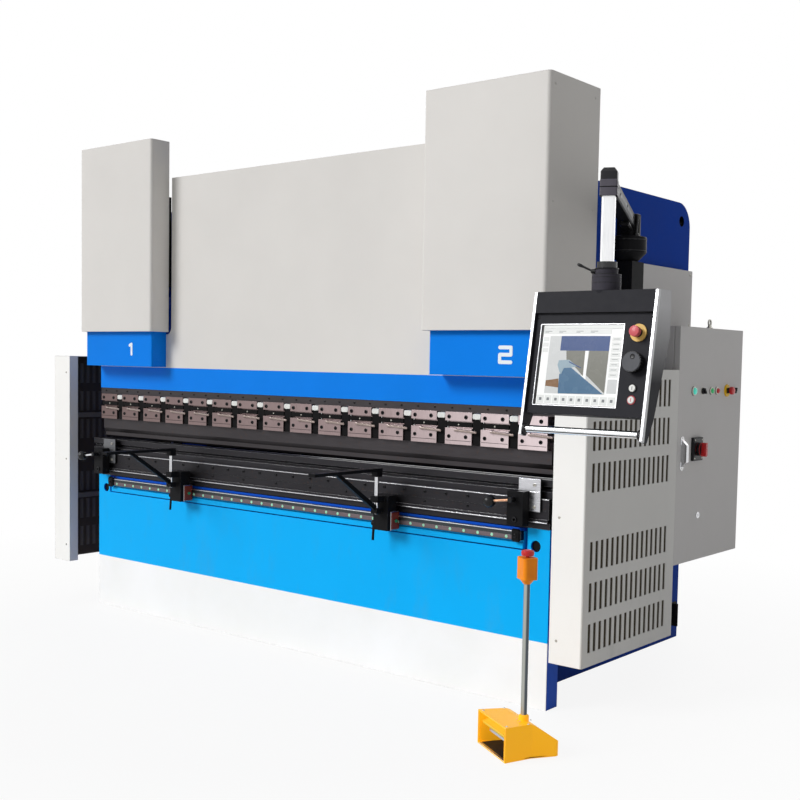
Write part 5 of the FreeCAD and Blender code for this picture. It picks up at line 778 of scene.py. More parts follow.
def console_details():
    """Screen frame, edge strips, buttons, screws, louvres, collar bands and the collar's clamp lever."""
    piece = Piece("console_fittings", "console")
    for u0, v0, u1, v1 in border(0.0250, -0.3575, 0.3880, -0.0425, 0.003):
        piece.block((u0, v0, -0.0025), (u1, v1, 0.0014), "silver", 0.0006, CONSOLE)
    # black ground of the screen; its wider strips left of and above the picture are painted shade from the
    # recess's sides
    piece.slab([(0.0280, -0.3545), (0.3850, -0.3545), (0.3850, -0.0455), (0.0280, -0.0455)], -0.0030, -0.0026,
               "glass", CONSOLE)
    for u0 in (-0.0115, PANEL_WIDE + 0.0005):
        piece.block((u0, -0.4735, 0.0130), (u0 + 0.011, 0.0790, 0.0150), "silver", 0.0008, CONSOLE)
    piece.block((0.001, -0.0035, -0.004), (PANEL_WIDE - 0.001, -0.0005, 0.0012), "glass", 0.0005, CONSOLE)
    for u, v in product((0.012, PANEL_WIDE - 0.012), (-0.018, -0.378)):
        piece.pan_screw(*on_console(u, v), 0.0042, 0.0020, "dark_screw")
    piece.lathe([(0.0175, 0.0055), (0.0175, 0.0145), (0.0168, 0.0160), (0.0163, 0.0160), (0.0163, 0.0110),
                 (0, 0.0110)], "black_plastic", *on_console(CONTROL_U, STOP_V), 32)
    push_button(piece, -0.282, "ui_ink", "black_plastic")
    push_button(piece, -0.325, "faded_red", "faded_red")
    for u, way in ((0.0004 - CHEEK, LEFT), (PANEL_WIDE + CHEEK - 0.0004, RIGHT)):
        for v in (0.052, 0.022):
            foot = (CONSOLE @ shifted(u, v, -0.0035)).translation
            piece.lathe([(0.0048, -0.001), (0.0048, 0.0002), (0.0040, 0.0003), (0.0025, 0.0001, 6),
                         (0, -0.0004)], "dark_screw", foot, way, 20)
    for level, radius in ((0.030, 0.0556), (0.050, 0.0556), (0.061, 0.0553)):
        piece.lathe([(radius - 0.003, -0.0016), (radius, -0.0010), (radius, 0.0010),
                     (radius - 0.003, 0.0016)], "black_plastic", (*POST, CONSOLE_TOP + level), UP, 48)
    piece.lathe([(0.0450, 0), (0.0450, 0.003), (0.0430, 0.004), (0.040, 0.004)], "dark_screw",
                (*POST, COLLAR_TOP - 0.005), UP, 48)
    hub = Vector((POST[0] - 0.040, POST[1] - 0.012, CONSOLE_TOP + 0.074))
    piece.lathe([(0.009, 0), (0.009, 0.016), (0.007, 0.018), (0, 0.018)], "knob", hub, (-1, -0.2, 0.05), 20)
    piece.lathe([(0.0038, 0), (0.0042, 0.040), (0.0062, 0.052), (0.0064, 0.060), (0.0045, 0.066), (0, 0.067)],
                "knob", hub + Vector((-0.012, -0.003, 0.001)), (-0.88, -0.18, 0.42), 16)
    for i in range(9):
        z = CONSOLE_TOP - 0.040 - i * 0.012
        piece.block((POST[0] - 0.118, CONSOLE_BACK - 0.001, z - 0.003),
                    (POST[0] + 0.082, CONSOLE_BACK + 0.0016, z + 0.003), "black_plastic", 0.001)
    for u in (0.02, PANEL_WIDE - 0.02):
        piece.pan_screw((console_low.x + CHEEK + u, CONSOLE_BACK, CONSOLE_TOP - 0.02), BACKWARD, 0.004, 0.002,
                        "dark_screw")
    low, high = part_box("pendant_handle")
    for x, way in ((low.x, RIGHT), (high.x, LEFT)):
        piece.lathe([(0.0195, 0), (0.0195, 0.010), (0.0175, 0.013), (0.0142, 0.014)], "black_plastic",
                    (x, (low.y + high.y) / 2, (low.z + high.z) / 2), way, 28)
    piece.done()


def dial_details():
    """Flat cap with a finger dimple on the hand wheel."""
    piece = Piece("dial_cap", "dial")
    piece.lathe([(0.0362, 0), (0.0362, 0.0012), (0.0350, 0.0020), (0, 0.0020)], "dial_face",
                *on_console(CONTROL_U, DIAL_V, 0.0342), 48)
    piece.lathe([(0.0098, -0.0005), (0.0096, 0.0008), (0.0085, 0.0012), (0.0072, 0.0006), (0.0050, 0.0001),
                 (0, 0.0)], "knob", *on_console(CONTROL_U + 0.004, DIAL_V + 0.019, 0.0362), 28)
    piece.done()


def stop_details():
    """Neck and domed cap of the console's stop button."""
    piece = Piece("stop_neck", "console_stop")
    piece.lathe([(0.0150, 0.0175), (0.0158, 0.0215), (0.0152, 0.0225), (0, 0.0225)], "black_plastic",
                *on_console(CONTROL_U, STOP_V), 32)
    piece.lathe([(0.0195, -0.0004), (0.0190, 0.0008), (0.0150, 0.0020), (0.0080, 0.0030), (0, 0.0033)],
                "faded_red", *on_console(CONTROL_U, STOP_V, 0.040), 36)
    piece.done()


HUB = (1.610, 0.540)
ARM_LENGTH = math.hypot(POST[0] - HUB[0], POST[1] - HUB[1])


def pendant_arm():
    """Hub with its clamp lever, long arm and bevelled elbow, with ribs, caps and screws."""
    piece = Piece("pendant_arm_dressed", "arm", "black_steel")
    low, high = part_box("pendant_arm")
    base, top = low.z, high.z - 0.044
    bottom = top - 0.060
    centre = (*HUB, 0.0)
    piece.lathe([(0.045, base), (0.085, base + 0.040), (0.085, base + 0.106), (0.082, base + 0.112),
                 (0.058, base + 0.118), (0.055, base + 0.124), (0.055, top - 0.003), (0.052, top), (0, top)],
                "black", centre, UP, 64)
    for level in (base + 0.048, base + 0.098):
        piece.lathe([(0.083, -0.0022), (0.0862, -0.0014), (0.0862, 0.0014), (0.083, 0.0022)], "black_plastic",
                    (*HUB, level), UP, 64)
    for x, y in arc(*HUB, 0.036, 30, 300, 5):
        piece.socket_screw((x, y, top - 0.0005), UP, 0.006, 0.005)
    heading = Vector((POST[0] - HUB[0], POST[1] - HUB[1], 0)).normalized()
    place = local(centre, heading, Vector(UP).cross(heading))
    piece.block((0.030, -0.030, bottom), (ARM_LENGTH - 0.020, 0.030, top), "black", 0.005, place)
    piece.block((0.075, -0.0305, bottom + 0.020), (ARM_LENGTH - 0.060, 0.0305, bottom + 0.040),
                "black_plastic", 0.002, place)
    piece.block((0.045, -0.022, bottom - 0.018), (0.260, 0.022, bottom + 0.002), "black", 0.006, place)
    elbow = place @ shifted(ARM_LENGTH, 0, 0)
    for half, radius, foot, head, key, chamfer in (
            (0.0310, 0.006, bottom, high.z, "black_plastic", 0.014),
            (0.0330, 0.006, bottom, bottom + 0.060, "collar", 0.003),
            (0.0334, 0.0066, bottom + 0.030, bottom + 0.034, "black", 0.0)):
        piece.slab(rounded(-half, -half, half, half, radius), foot, head, key, elbow, chamfer)
    for side, reach in product((1, -1), (0.14, 0.50, 0.84)):
        foot = (place @ shifted(reach, side * 0.030, bottom + 0.030)).translation
        piece.pan_screw(foot, place.to_3x3() @ Vector((0, side, 0)), 0.006, 0.003, "dark_screw")
    out = Vector((0.80, -0.45, 0)).normalized()
    foot = Vector((*HUB, base + 0.100)) + out * 0.066
    piece.lathe([(0.014, 0), (0.014, 0.020), (0.011, 0.024), (0, 0.024)], "knob", foot, UP)
    piece.lathe([(0.0060, 0), (0.0060, 0.050), (0.0085, 0.066), (0.0085, 0.092), (0.0060, 0.098), (0, 0.099)],
                "knob", foot + Vector((0, 0, 0.012)), (out.x * 0.08, out.y * 0.08, 1), 20)
    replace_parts(piece.done(), "pendant_arm")


cheek_paint_and_light()
screen_picture()
console_details()
dial_details()
stop_details()
pendant_arm()


# Cabinet

CONTROL_ROW, CABINET_FRONT = 1.376, 0.764


def control_row():
    """Lamps, selectors and stop button in the row on the door."""
    piece = Piece("control_row", "door")
    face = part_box("cabinet_door")[1].x
    end, z = face + 0.004, CONTROL_ROW
    for s, radius, key in ((0.158, 0.019, "lens"), (0.352, 0.0155, "green"), (0.417, 0.0155, "red")):
        y, rim = CABINET_FRONT + s, radius - 0.002
        foot = (end - 0.0025, y, z)
        piece.lathe([(radius + 0.003, 0), (radius + 0.003, 0.004), (radius + 0.001, 0.006), (rim, 0.006),
                     (rim, 0.003), (0, 0.003)], "zinc", foot, RIGHT, 32)
        piece.lathe([(rim, 0.003), (rim, 0.009), (radius * 0.70, 0.0125), (radius * 0.35, 0.0142),
                     (0, 0.0147)], key, foot, RIGHT, 32)
        piece.lathe([(radius + 0.004, 0), (radius + 0.004, 0.0015), (0.013, 0.002), (0, 0.002)],
                    "black_plastic", (face, y, z), RIGHT, 32)
    for s, turn in ((0.256, 35), (0.617, -30)):
        y, lean = CABINET_FRONT + s, math.radians(turn)
        piece.lathe([(0.0165, -0.004), (0.0165, 0.003), (0.0150, 0.005), (0, 0.005)], "black_plastic",
                    (end - 0.0005, y, z), RIGHT, 32)
        place = local((end + 0.004, y, z), (0, math.cos(lean), math.sin(lean)),
                      (0, -math.sin(lean), math.cos(lean)))
        piece.block((-0.0040, -0.0150, 0.0), (0.0040, 0.0150, 0.013), "knob", 0.0015, place)
        piece.block((-0.0008, 0.004, 0.0125), (0.0008, 0.0140, 0.0134), "white_button", 0.0003, place)
        piece.lathe([(0.0195, 0), (0.0195, 0.0015), (0.0160, 0.002), (0, 0.002)], "zinc",
                    (face, y, z), RIGHT, 32)
    stop = (face, CABINET_FRONT + 0.536, z)
    piece.lathe([(0.0310, 0), (0.0310, 0.0050), (0.0295, 0.0062), (0.0120, 0.0066), (0, 0.0066)], "yellow",
                stop, RIGHT, 40)
    piece.lathe([(0.0145, 0.006), (0.0145, 0.0180), (0.0110, 0.0200), (0.0110, 0.0240), (0, 0.0240)],
                "black_plastic", stop, RIGHT, 32)
    piece.lathe([(0.0120, 0.0205), (0.0192, 0.0225), (0.0200, 0.0250), (0.0198, 0.0340), (0.0180, 0.0382),
                 (0.0120, 0.0398), (0, 0.0403)], "red", stop, RIGHT, 36)
    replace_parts(piece.done(), "cabinet_controls")


def cabinet_door_details():
    """Handle plates, lock, switch plate and gasket of the door."""
    piece = Piece("door_fittings", "door")
    door_low, door_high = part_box("cabinet_door")
    face = door_high.x
    low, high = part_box("door_handle")
    middle = (low.y + high.y) / 2
    plate = local((face, middle, 0), BACKWARD, UP)
    for z0, z1, screw in ((low.z - 0.012, low.z + 0.034, low.z - 0.004),
                          (high.z - 0.034, high.z + 0.012, high.z + 0.004)):
        piece.slab(rounded(-0.017, z0, 0.017, z1, 0.015), 0.0, 0.003, "chrome", plate, 0.0008)
        piece.pan_screw((face + 0.003, middle, screw), RIGHT, 0.004, 0.002)
    lock_y, lock_z = 1.0055, 0.77
    piece.lathe([(0.016, 0), (0.016, 0.004), (0.014, 0.006), (0.010, 0.006), (0.009, 0.004), (0, 0.004)],
                "chrome", (face, lock_y, lock_z), RIGHT, 32)
    piece.block((face + 0.0035, lock_y - 0.001, lock_z - 0.006),
                (face + 0.0046, lock_y + 0.001, lock_z + 0.006), "dark_screw", 0.0003)
    (_, y0, z0), (x1, y1, z1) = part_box("switch_base")
    piece.slab(rounded(y0 + 0.006, z0 + 0.006, y1 - 0.006, z1 - 0.006, 0.008), 0.0, 0.0015, "knob",
               local((x1, 0, 0), BACKWARD, UP), 0.0006)
    for y, z in product((y0 + 0.012, y1 - 0.012), (z0 + 0.012, z1 - 0.012)):
        piece.pan_screw((x1 + 0.0015, y, z), RIGHT, 0.004, 0.002)
    inset = 0.030
    for y0, z0, y1, z1 in border(door_low.y + inset, door_low.z + inset, door_high.y - inset,
                                 door_high.z - inset, 0.010):
        piece.block((face - 0.0055, y0, z0), (face - 0.0028, y1, z1), "rubber", 0.001)
    piece.done()


def switch_details():
    """Coloured grip on the main switch, with its pointer line and rim."""
    piece = Piece("switch_grip", "switch_knob")
    low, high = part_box("main_switch")
    y, z = (low.y + high.y) / 2, (low.z + high.z) / 2
    rim = high.x - 0.024
    piece.lathe([(0.0322, -0.018), (0.0326, -0.015), (0.0322, -0.002), (0.0300, 0.0006), (0.0100, 0.0006)],
                "knob", (rim, y, z), RIGHT, 40)
    piece.slab(rounded(-0.0098, -0.0345, 0.0098, 0.0320, 0.008), 0.0002, 0.0246, "red",
               local((rim, y, z), BACKWARD, UP), 0.002)
    piece.block((rim + 0.0244, y - 0.0010, z + 0.004), (rim + 0.0252, y + 0.0010, z + 0.026), "white_button",
                0.0003)
    piece.done()


def cabinet_details():
    """Eyebolts and panel screws, and the mounting plate, rails, units and ducts inside the cabinet."""
    piece = Piece("cabinet_fittings", "machine")
    low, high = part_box("cabinet_box")
    for x in (high.x - 0.022, low.x + 0.022):
        piece.lathe([(0.016, 0), (0.016, 0.005), (0.010, 0.010), (0.009, 0.016), (0, 0.016)], "zinc",
                    (x, 1.150, high.z - 0.0005), UP)
        piece.ring((x, 1.150, high.z + 0.029), 0.014, 0.0045, "zinc")
    panel_low, panel_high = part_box("service_panel")
    for y, z in product((panel_low.y + 0.025, panel_high.y - 0.025),
                        (panel_low.z + 0.022, panel_high.z - 0.022)):
        piece.pan_screw((panel_high.x, y, z), RIGHT, 0.007, 0.004)
    back = low.x + 0.016
    plate = back + 0.003
    piece.block((back, low.y + 0.05, low.z + 0.06), (plate, high.y - 0.05, high.z - 0.06), "zinc")
    for level, units in ((0.22, 5), (0.45, 9), (0.68, 14), (0.90, 11)):
        z = low.z + level
        piece.block((plate, low.y + 0.11, z - 0.0175), (back + 0.010, high.y - 0.11, z + 0.0175), "zinc")
        step = (high.y - low.y - 0.26) / units
        wide = step - 0.004
        for i in range(units):
            y = low.y + 0.13 + i * step
            key = ("black_plastic", "duct", "white_button")[(i + units) % 3]
            piece.block((back + 0.010, y, z - 0.042), (back + 0.085, y + wide, z + 0.042), key, 0.002)
            piece.block((back + 0.085, y + wide * 0.2, z - 0.018), (back + 0.091, y + wide * 0.8, z + 0.018),
                        "knob")
    for y in (low.y + 0.060, high.y - 0.100):
        piece.block((plate, y, low.z + 0.09), (plate + 0.050, y + 0.040, high.z - 0.09), "duct", 0.002)
    for level in (0.335, 0.565, 0.79):
        z = low.z + level
        piece.block((plate, low.y + 0.104, z - 0.02), (plate + 0.050, high.y - 0.104, z + 0.02), "duct",
                    0.002)
    piece.done()


control_row()
cabinet_door_details()
switch_details()
cabinet_details()


# Table clamps and sheet supports

PLATE_FACE, CLAMP_FACE, LEVER_FACE, LEVER_Z = -0.0725, -0.118, -0.150, 0.912


def table_clamp_details():
    """Bright plates and bolts on the two table clamps."""
    piece = Piece("table_clamp_fittings", "machine")
    for left, plate in ((-1.547, "dull"), (1.424, "bright")):
        for x0, z0, z1 in ((0.0275, 0.946, 1.0015), (0.0825, 0.860, 0.9465)):
            piece.block((left + x0, PLATE_FACE, z0), (left + 0.1385, -0.0694, z1), plate, 0.002)
        piece.socket_screw((left + 0.041, CLAMP_FACE, 0.824), FRONT, 0.012, 0.006)
        for z in (0.880, 0.975):
            piece.socket_screw((left + 0.110, PLATE_FACE, z), FRONT, 0.007, 0.005, "zinc")
        piece.lathe([(0.017, 0), (0.017, 0.003), (0.0145, 0.005), (0.0118, 0.005)], "black",
                    (left + 0.041, CLAMP_FACE, LEVER_Z), FRONT, 32)
    piece.done()


def ball_lever(side, x, rod):
    """Hub, rod and ball of one table clamp's lever."""
    piece = Piece("clamp_lever_" + side + "_ball", "lever_" + side, "black_steel")
    slope, ball = math.radians(8), 0.0285
    down = (-math.cos(slope), 0, -math.sin(slope))
    foot = Vector((x, LEVER_FACE, LEVER_Z))
    piece.lathe([(0.0060, 0), (0.0060, 0.088), (0, 0.088)], rod, foot, down, 20)
    turns = [math.pi * i / 12 for i in range(2, 12)]
    profile = [(ball * math.sin(t), ball - ball * math.cos(t)) for t in turns]
    piece.lathe([(0.0095, 0), (0.0100, 0.004)] + profile + [(0, 2 * ball)], "knob",
                foot + Vector(down) * 0.0845, down, 32)
    piece.lathe([(0.0112, -0.0315), (0.0112, 0.009), (0.0098, 0.0108), (0, 0.0108)], "knob", foot, FRONT, 28)
    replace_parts(piece.done(), "clamp_lever_" + side)


def support_details(side, middle):
    """Wiper, its plug, screws and arm bolts of one sheet support."""
    piece = Piece("support_fittings_" + side, "support_" + side)
    left, right = middle - 0.045, middle + 0.045
    for x, z in product((left + 0.030, left + 0.052), (0.722, 0.768)):
        piece.socket_screw((x, -0.1222, z), FRONT, 0.0050, 0.003)
    piece.block((right, -0.116, 0.705), (right + 0.009, -0.062, 0.785), "wiper", 0.003)
    piece.block((right - 0.0005, -0.118, 0.700), (right + 0.0025, -0.060, 0.790), "bright", 0.0008)
    piece.lathe([(0.0080, 0), (0.0080, 0.005), (0.0060, 0.008), (0, 0.009)], "green_cap",
                (right + 0.0085, -0.089, 0.745), RIGHT)
    low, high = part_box("support_arm_" + side)
    for y in (low.y + 0.030, low.y + 0.150, low.y + 0.270):
        piece.socket_screw(((low.x + high.x) / 2, y, high.z - 0.0005), UP, 0.007, 0.0005)
    piece.done()


ball_lever("left", -1.506, "chrome")
ball_lever("right", 1.465, "copper")
table_clamp_details()
support_details("left", -0.771)
support_details("right", 0.723)


# Cylinder covers and side guards

SHEET = 0.003


def sides_of(node, side):
    """Lowest and highest corner of a node, and its faces towards and away from the middle of the machine."""
    low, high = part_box(node)
    return (low, high, low.x, high.x) if side > 0 else (low, high, high.x, low.x)


def cylinder_cover(side, node):
    """Folded sheet cover: rounded front corners, deep outer side, cut-back top and its screws."""
    piece = Piece(node + "_dressed", "machine", "light_grey")
    low, high, inner, outer = sides_of(node, side)
    bend = 0.018
    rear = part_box("ram_plate")[0].y - 0.006

    def path(off):
        """Plan line of the folded wall, set in by the sheet's thickness."""
        front = arc(bend, bend, bend - off, 180, 90, 6)
        far = arc(abs(outer - inner) - bend, bend, bend - off, 270, 90, 6)
        return ([(inner + side * off, rear)] + [(inner + side * x, low.y + y) for x, y in front + far]
                + [(outer - side * off, high.y)])

    top = high.z - SHEET
    piece.slab(path(0) + path(SHEET)[::-1], low.z, top, "cover")
    piece.slab(path(0) + [(outer - side * 0.309, high.y)], top, high.z, "cover")
    a, b = sorted((outer - side * SHEET, outer - side * 0.022))
    piece.block((a, high.y - SHEET, low.z), (b, high.y, top), "cover", 0.0005)
    cylinder_low, cylinder_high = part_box(node.replace("cylinder_cover", "cylinder"))
    centre = (cylinder_low.x + cylinder_high.x) / 2
    shelf = high.z - 0.269
    a, b = sorted((centre, outer - side * SHEET))
    piece.block((a, -0.060, shelf), (b, 0.060, shelf + 0.005), "zinc", 0.0005)
    for y in (-0.035, 0.035):
        piece.hex_bolt((centre + side * 0.030, y, shelf + 0.005), UP, 0.009, 0.007)
    for y, z in product((low.y + 0.040, high.y - 0.040),
                        (low.z + 0.050, (low.z + high.z) / 2, high.z - 0.050)):
        piece.pan_screw((outer, y, z), (side, 0, 0), 0.0055, 0.0028, "cover")
    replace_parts(piece.done(), node)


GUARD_BEND, FRONT_LIP, REAR_LIP = 0.008, 0.058, 0.050
GUARD_ROWS = (0.059, 0.233, 0.407, 0.736, 0.910, 1.084)
SLOT_HIGH, SLOT_WIDE, SLOT_STEP, SLOT_FIRST, SLOT_COUNT = 0.122, 0.022, 0.0445, 0.047, 16
SLOT_STARTS = [SLOT_FIRST + i * SLOT_STEP for i in range(SLOT_COUNT)]


def guard_sheet(side, node):
    """Folded guard with rows of slots in its outer side, its lips, top and two stiffeners."""
    piece = Piece(node + "_dressed", "machine", "light_grey")
    low, high, inner, outer = sides_of(node, side)
    top, bend = high.z - SHEET, GUARD_BEND
    levels = [low.z] + [low.z + row + up for row in GUARD_ROWS for up in (0, SLOT_HIGH)] + [top]
    turns = [math.radians(18 * i) for i in range(6)]
    first_slot = 2 + len(turns)

    def line(off):
        """Plan line of one skin of the folded sheet, with a point at each edge of a slot."""
        r = bend - off
        points = [(inner + side * off, low.y + FRONT_LIP), (inner + side * off, low.y + off)]
        points += [(outer - side * (bend - r * math.sin(t)), low.y + bend - r * math.cos(t)) for t in turns]
        points += [(outer - side * off, low.y + start + wide)
                   for start, wide in product(SLOT_STARTS, (0, SLOT_WIDE))]
        points += [(outer - side * (bend - r * math.cos(t)), high.y - bend + r * math.sin(t)) for t in turns]
        return points + [(inner + side * off, high.y - off), (inner + side * off, high.y - REAR_LIP)]

    skins = line(0), line(SHEET)
    count, rise = len(skins[0]), len(levels)
    points = [(x, y, z) for skin in skins for x, y in skin for z in levels]
    faces = {"guard": [], "guard_front_painted_light": [], "guard_inside_shade": []}

    def at(skin, i, j):
        return (skin * count + i) * rise + j

    def wall(a, b):
        """Face through the sheet between two of its grid points."""
        faces["guard"].append([at(0, *a), at(0, *b), at(1, *b), at(1, *a)])

    for i, j in product(range(count - 1), range(rise - 1)):
        corners = ((i, j), (i + 1, j), (i + 1, j + 1), (i, j + 1))
        slot_column = 0 <= i - first_slot < 2 * SLOT_COUNT and (i - first_slot) % 2 == 0
        if slot_column and 0 < j < rise - 1 and j % 2 == 1:
            for a, b in zip(corners, corners[1:] + corners[:1]):
                wall(a, b)
        else:
            # front face in the lighter copy (painted light); inner rear lip in the darker inside paint
            # (painted shade)
            key = {1: "guard_front_painted_light", count - 2: "guard_inside_shade"}.get(i, "guard")
            faces[key].append([at(0, *corner) for corner in corners])
            # inner skin in the painted shade colour
            faces["guard_inside_shade"].append([at(1, *corner) for corner in corners])
    for i, j in product(range(count - 1), (0, rise - 1)):
        wall((i, j), (i + 1, j))
    for i, j in product((0, count - 1), range(rise - 1)):
        wall((i, j), (i, j + 1))
    for key, some in faces.items():
        used = sorted({k for face in some for k in face})
        number = {k: n for n, k in enumerate(used)}
        piece.add([points[k] for k in used], [[number[k] for k in face] for face in some], key)
    piece.slab(line(0), top, high.z, "guard")
    a, b = sorted((outer - side * SHEET, outer - side * 0.027))
    for up in (0.366, 0.869):
        piece.block((a, low.y + bend, low.z + up), (b, high.y - bend, low.z + up + 0.030), "guard_inside_shade")
    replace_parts(piece.done(), node)


def guard_shade_lining():
    """Dark backing sheets as painted shade behind the guards' slots, and the screws of the guards' flanges."""
    piece = Piece("guard_shade_lining", "machine")
    inset, gap = 0.006, 0.004
    for node, side in (("guard_right", 1), ("guard_left", -1)):
        low, high, inner, outer = sides_of(node, side)
        skin, shade_lining = outer - side * 0.0045, outer - side * 0.0070
        base, top = low.z + inset, high.z - inset
        a, b = sorted((skin, shade_lining))
        # painted shade: dark sheet behind the slots
        piece.block((a, low.y + inset, base), (b, high.y - inset, top), "shade_lining", 0.0005)
        a, b = sorted((inner + side * 0.050, skin))
        for y in (low.y + gap, high.y - inset):
            piece.block((a, y, base), (b, y + inset - gap, top), "shade_lining", 0.0003)
        a, b = sorted((inner + side * gap, skin))
        piece.block((a, low.y + inset, top), (b, high.y - inset, high.z - gap), "shade_lining", 0.0003)
        for z in (low.z + 0.10, (low.z + high.z) / 2, high.z - 0.10):
            piece.pan_screw(((inner + outer) / 2 - side * 0.045, low.y, z), FRONT, 0.006, 0.003)
        a, b = sorted((shade_lining, shade_lining - side * 0.0006))
        for row, start in product(GUARD_ROWS, SLOT_STARTS):
            y, z = low.y + start, low.z + row
            piece.block((a, y, z), (b, y + SLOT_WIDE, z + SLOT_HIGH), "slot_shade", 0.0001)
    piece.done()


cylinder_cover(1, "cylinder_cover_right")
cylinder_cover(-1, "cylinder_cover_left")
guard_sheet(1, "guard_right")
guard_sheet(-1, "guard_left")
guard_shade_lining()


# Numerals on the ram boxes

def numerals():
    """Plain painted figures 1 and 2 on the fronts of the ram boxes."""
    piece = Piece("ram_numerals", "ram")
    place = local((0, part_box("ram_box_left")[0].y, 0), RIGHT, UP)
    one = ((-1.172, 1.504, -1.172, 1.562), (-1.190, 1.554, -1.172, 1.562))
    left, right, low, middle, high = 1.379, 1.437, 1.496, 1.528, 1.559
    two = ((left, high, right, high), (right, high, right, middle), (right, middle, left, middle),
           (left, middle, left, low), (left, low, right, low))
    for i, line in enumerate(one + two):
        piece.slab(stroke(*line, 0.0165), 0.0, 0.0006 + 0.00004 * i, "numeral", place)
    piece.done()


numerals()


# Foot pedal

PEDAL = shifted(1.739, -0.647, 0) @ turned(-30, "Z")
SOCKET = (0.048, 0.112)


def on_pedal(x, y, z):
    """Place on the pedal's housing, as its foot and axis."""
    return spin(PEDAL @ shifted(x, y, z))


def pedal_details():
    """Inner flap, blue switch block, mat, seams, socket and screws of the pedal's housing."""
    piece = Piece("pedal_fittings", "machine")
    lean = PEDAL @ shifted(0, 0.016, 0.098) @ turned(16, "X")
    piece.block((-0.114, 0, -0.0012), (0.114, 0.062, 0.0012), "flap", 0.0006, lean)
    piece.block((-0.114, -0.0020, -0.0100), (0.114, 0.0005, 0.0020), "flap", 0.0008, lean)
    piece.block((0.082, 0.022, 0.012), (0.104, 0.075, 0.062), "blue_part", 0.003, PEDAL)
    piece.block((-0.112, 0.0005, 0.0080), (0.112, 0.0120, 0.0135), "silver", 0.0008, PEDAL)
    piece.block((-0.112, 0.0120, 0.0121), (0.112, 0.1900, 0.0135), "rubber", 0.0006, PEDAL)
    for x, y in product((-0.10416, 0.10416), (0.014, 0.104)):
        piece.pan_screw(*on_pedal(x, y, 0.1398), 0.005, 0.0025)
    piece.lathe([(0.0195, -0.0030), (0.0200, 0.0), (0.0165, 0.0035), (0.0125, 0.0050)], "orange",
                *on_pedal(*SOCKET, 0.1562), 32)
    for start in (60, 240):
        for x, y in arc(*SOCKET, 0.027, start, 60, 1):
            piece.pan_screw(*on_pedal(x, y, 0.1398), 0.0035, 0.002)
    for x in (-0.1134, 0.1134):
        piece.block((-0.0015, -0.0036, 0.010), (0.0015, 0.0, 0.136), "orange", 0.0006,
                    PEDAL @ shifted(x, 0.004, 0))
    piece.done()


def tread_details():
    """Ribbed rubber mat and bright front edge on the tread."""
    piece = Piece("tread_mat", "pedal")
    place = PEDAL @ shifted(0, 0.190, 0.034) @ turned(-11, "X")
    piece.block((-0.072, -0.160, 0.0108), (0.072, -0.010, 0.0122), "rubber", 0.0005, place)
    for i in range(13):
        y = -0.157 + i * 0.0115
        piece.block((-0.070, y, 0.0120), (0.070, y + 0.0060, 0.0140), "rubber", 0.0008, place)
    piece.block((-0.0752, -0.1668, 0.0024), (0.0752, -0.1648, 0.0124), "bright", 0.0006, place)
    piece.done()


def pedal_stop_details():
    """Smooth dome on the pedal's stop button."""
    piece = Piece("pedal_stop_dome", "pedal_stop_button", "red_plastic")
    low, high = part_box("pedal_stop")
    piece.lathe([(0.0236, -0.0130), (0.0245, -0.0115), (0.0247, -0.0035), (0.0232, 0.0008), (0.0185, 0.0035),
                 (0.0110, 0.0052), (0, 0.0058)], "red", ((low.x + high.x) / 2, (low.y + high.y) / 2, high.z),
                UP, 40)
    piece.done()


pedal_details()
tread_details()
pedal_stop_details()


# Rear and frame details

def tank_details(piece):
    """Lid bolts, breather and level gauge of the tank, and the bands of the motor's fan cover."""
    low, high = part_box("oil_tank")
    for x, y in product(spread(low.x + 0.05, high.x - 0.05, 10), (low.y + 0.020, high.y - 0.020)):
        piece.hex_bolt((x, y, high.z), UP, 0.007, 0.005)
    piece.lathe([(0.035, 0), (0.035, 0.006), (0.026, 0.008), (0.026, 0.030), (0.034, 0.034), (0.034, 0.052),
                 (0.028, 0.058), (0, 0.058)], "black", (low.x + 0.25, (low.y + high.y) / 2, high.z), UP, 32)
    gauge = local((high.x - 0.20, high.y, low.z + 0.10), LEFT, UP)
    piece.block((-0.016, 0, 0), (0.016, 0.160, 0.012), "bright", 0.002, gauge)
    piece.block((-0.008, 0.022, 0.0115), (0.008, 0.138, 0.0135), "glass", 0.001, gauge)
    for v in (0.011, 0.149):
        piece.hex_bolt(*spin(gauge @ shifted(0, v, 0.012)), 0.006, 0.004)
    low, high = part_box("pump_motor")
    for radius in (0.020, 0.035, 0.050, 0.065, 0.080):
        piece.ring((high.x + 0.0006, (low.y + high.y) / 2, (low.z + high.z) / 2), radius, 0.0012,
                   "black_plastic", 36, 8)


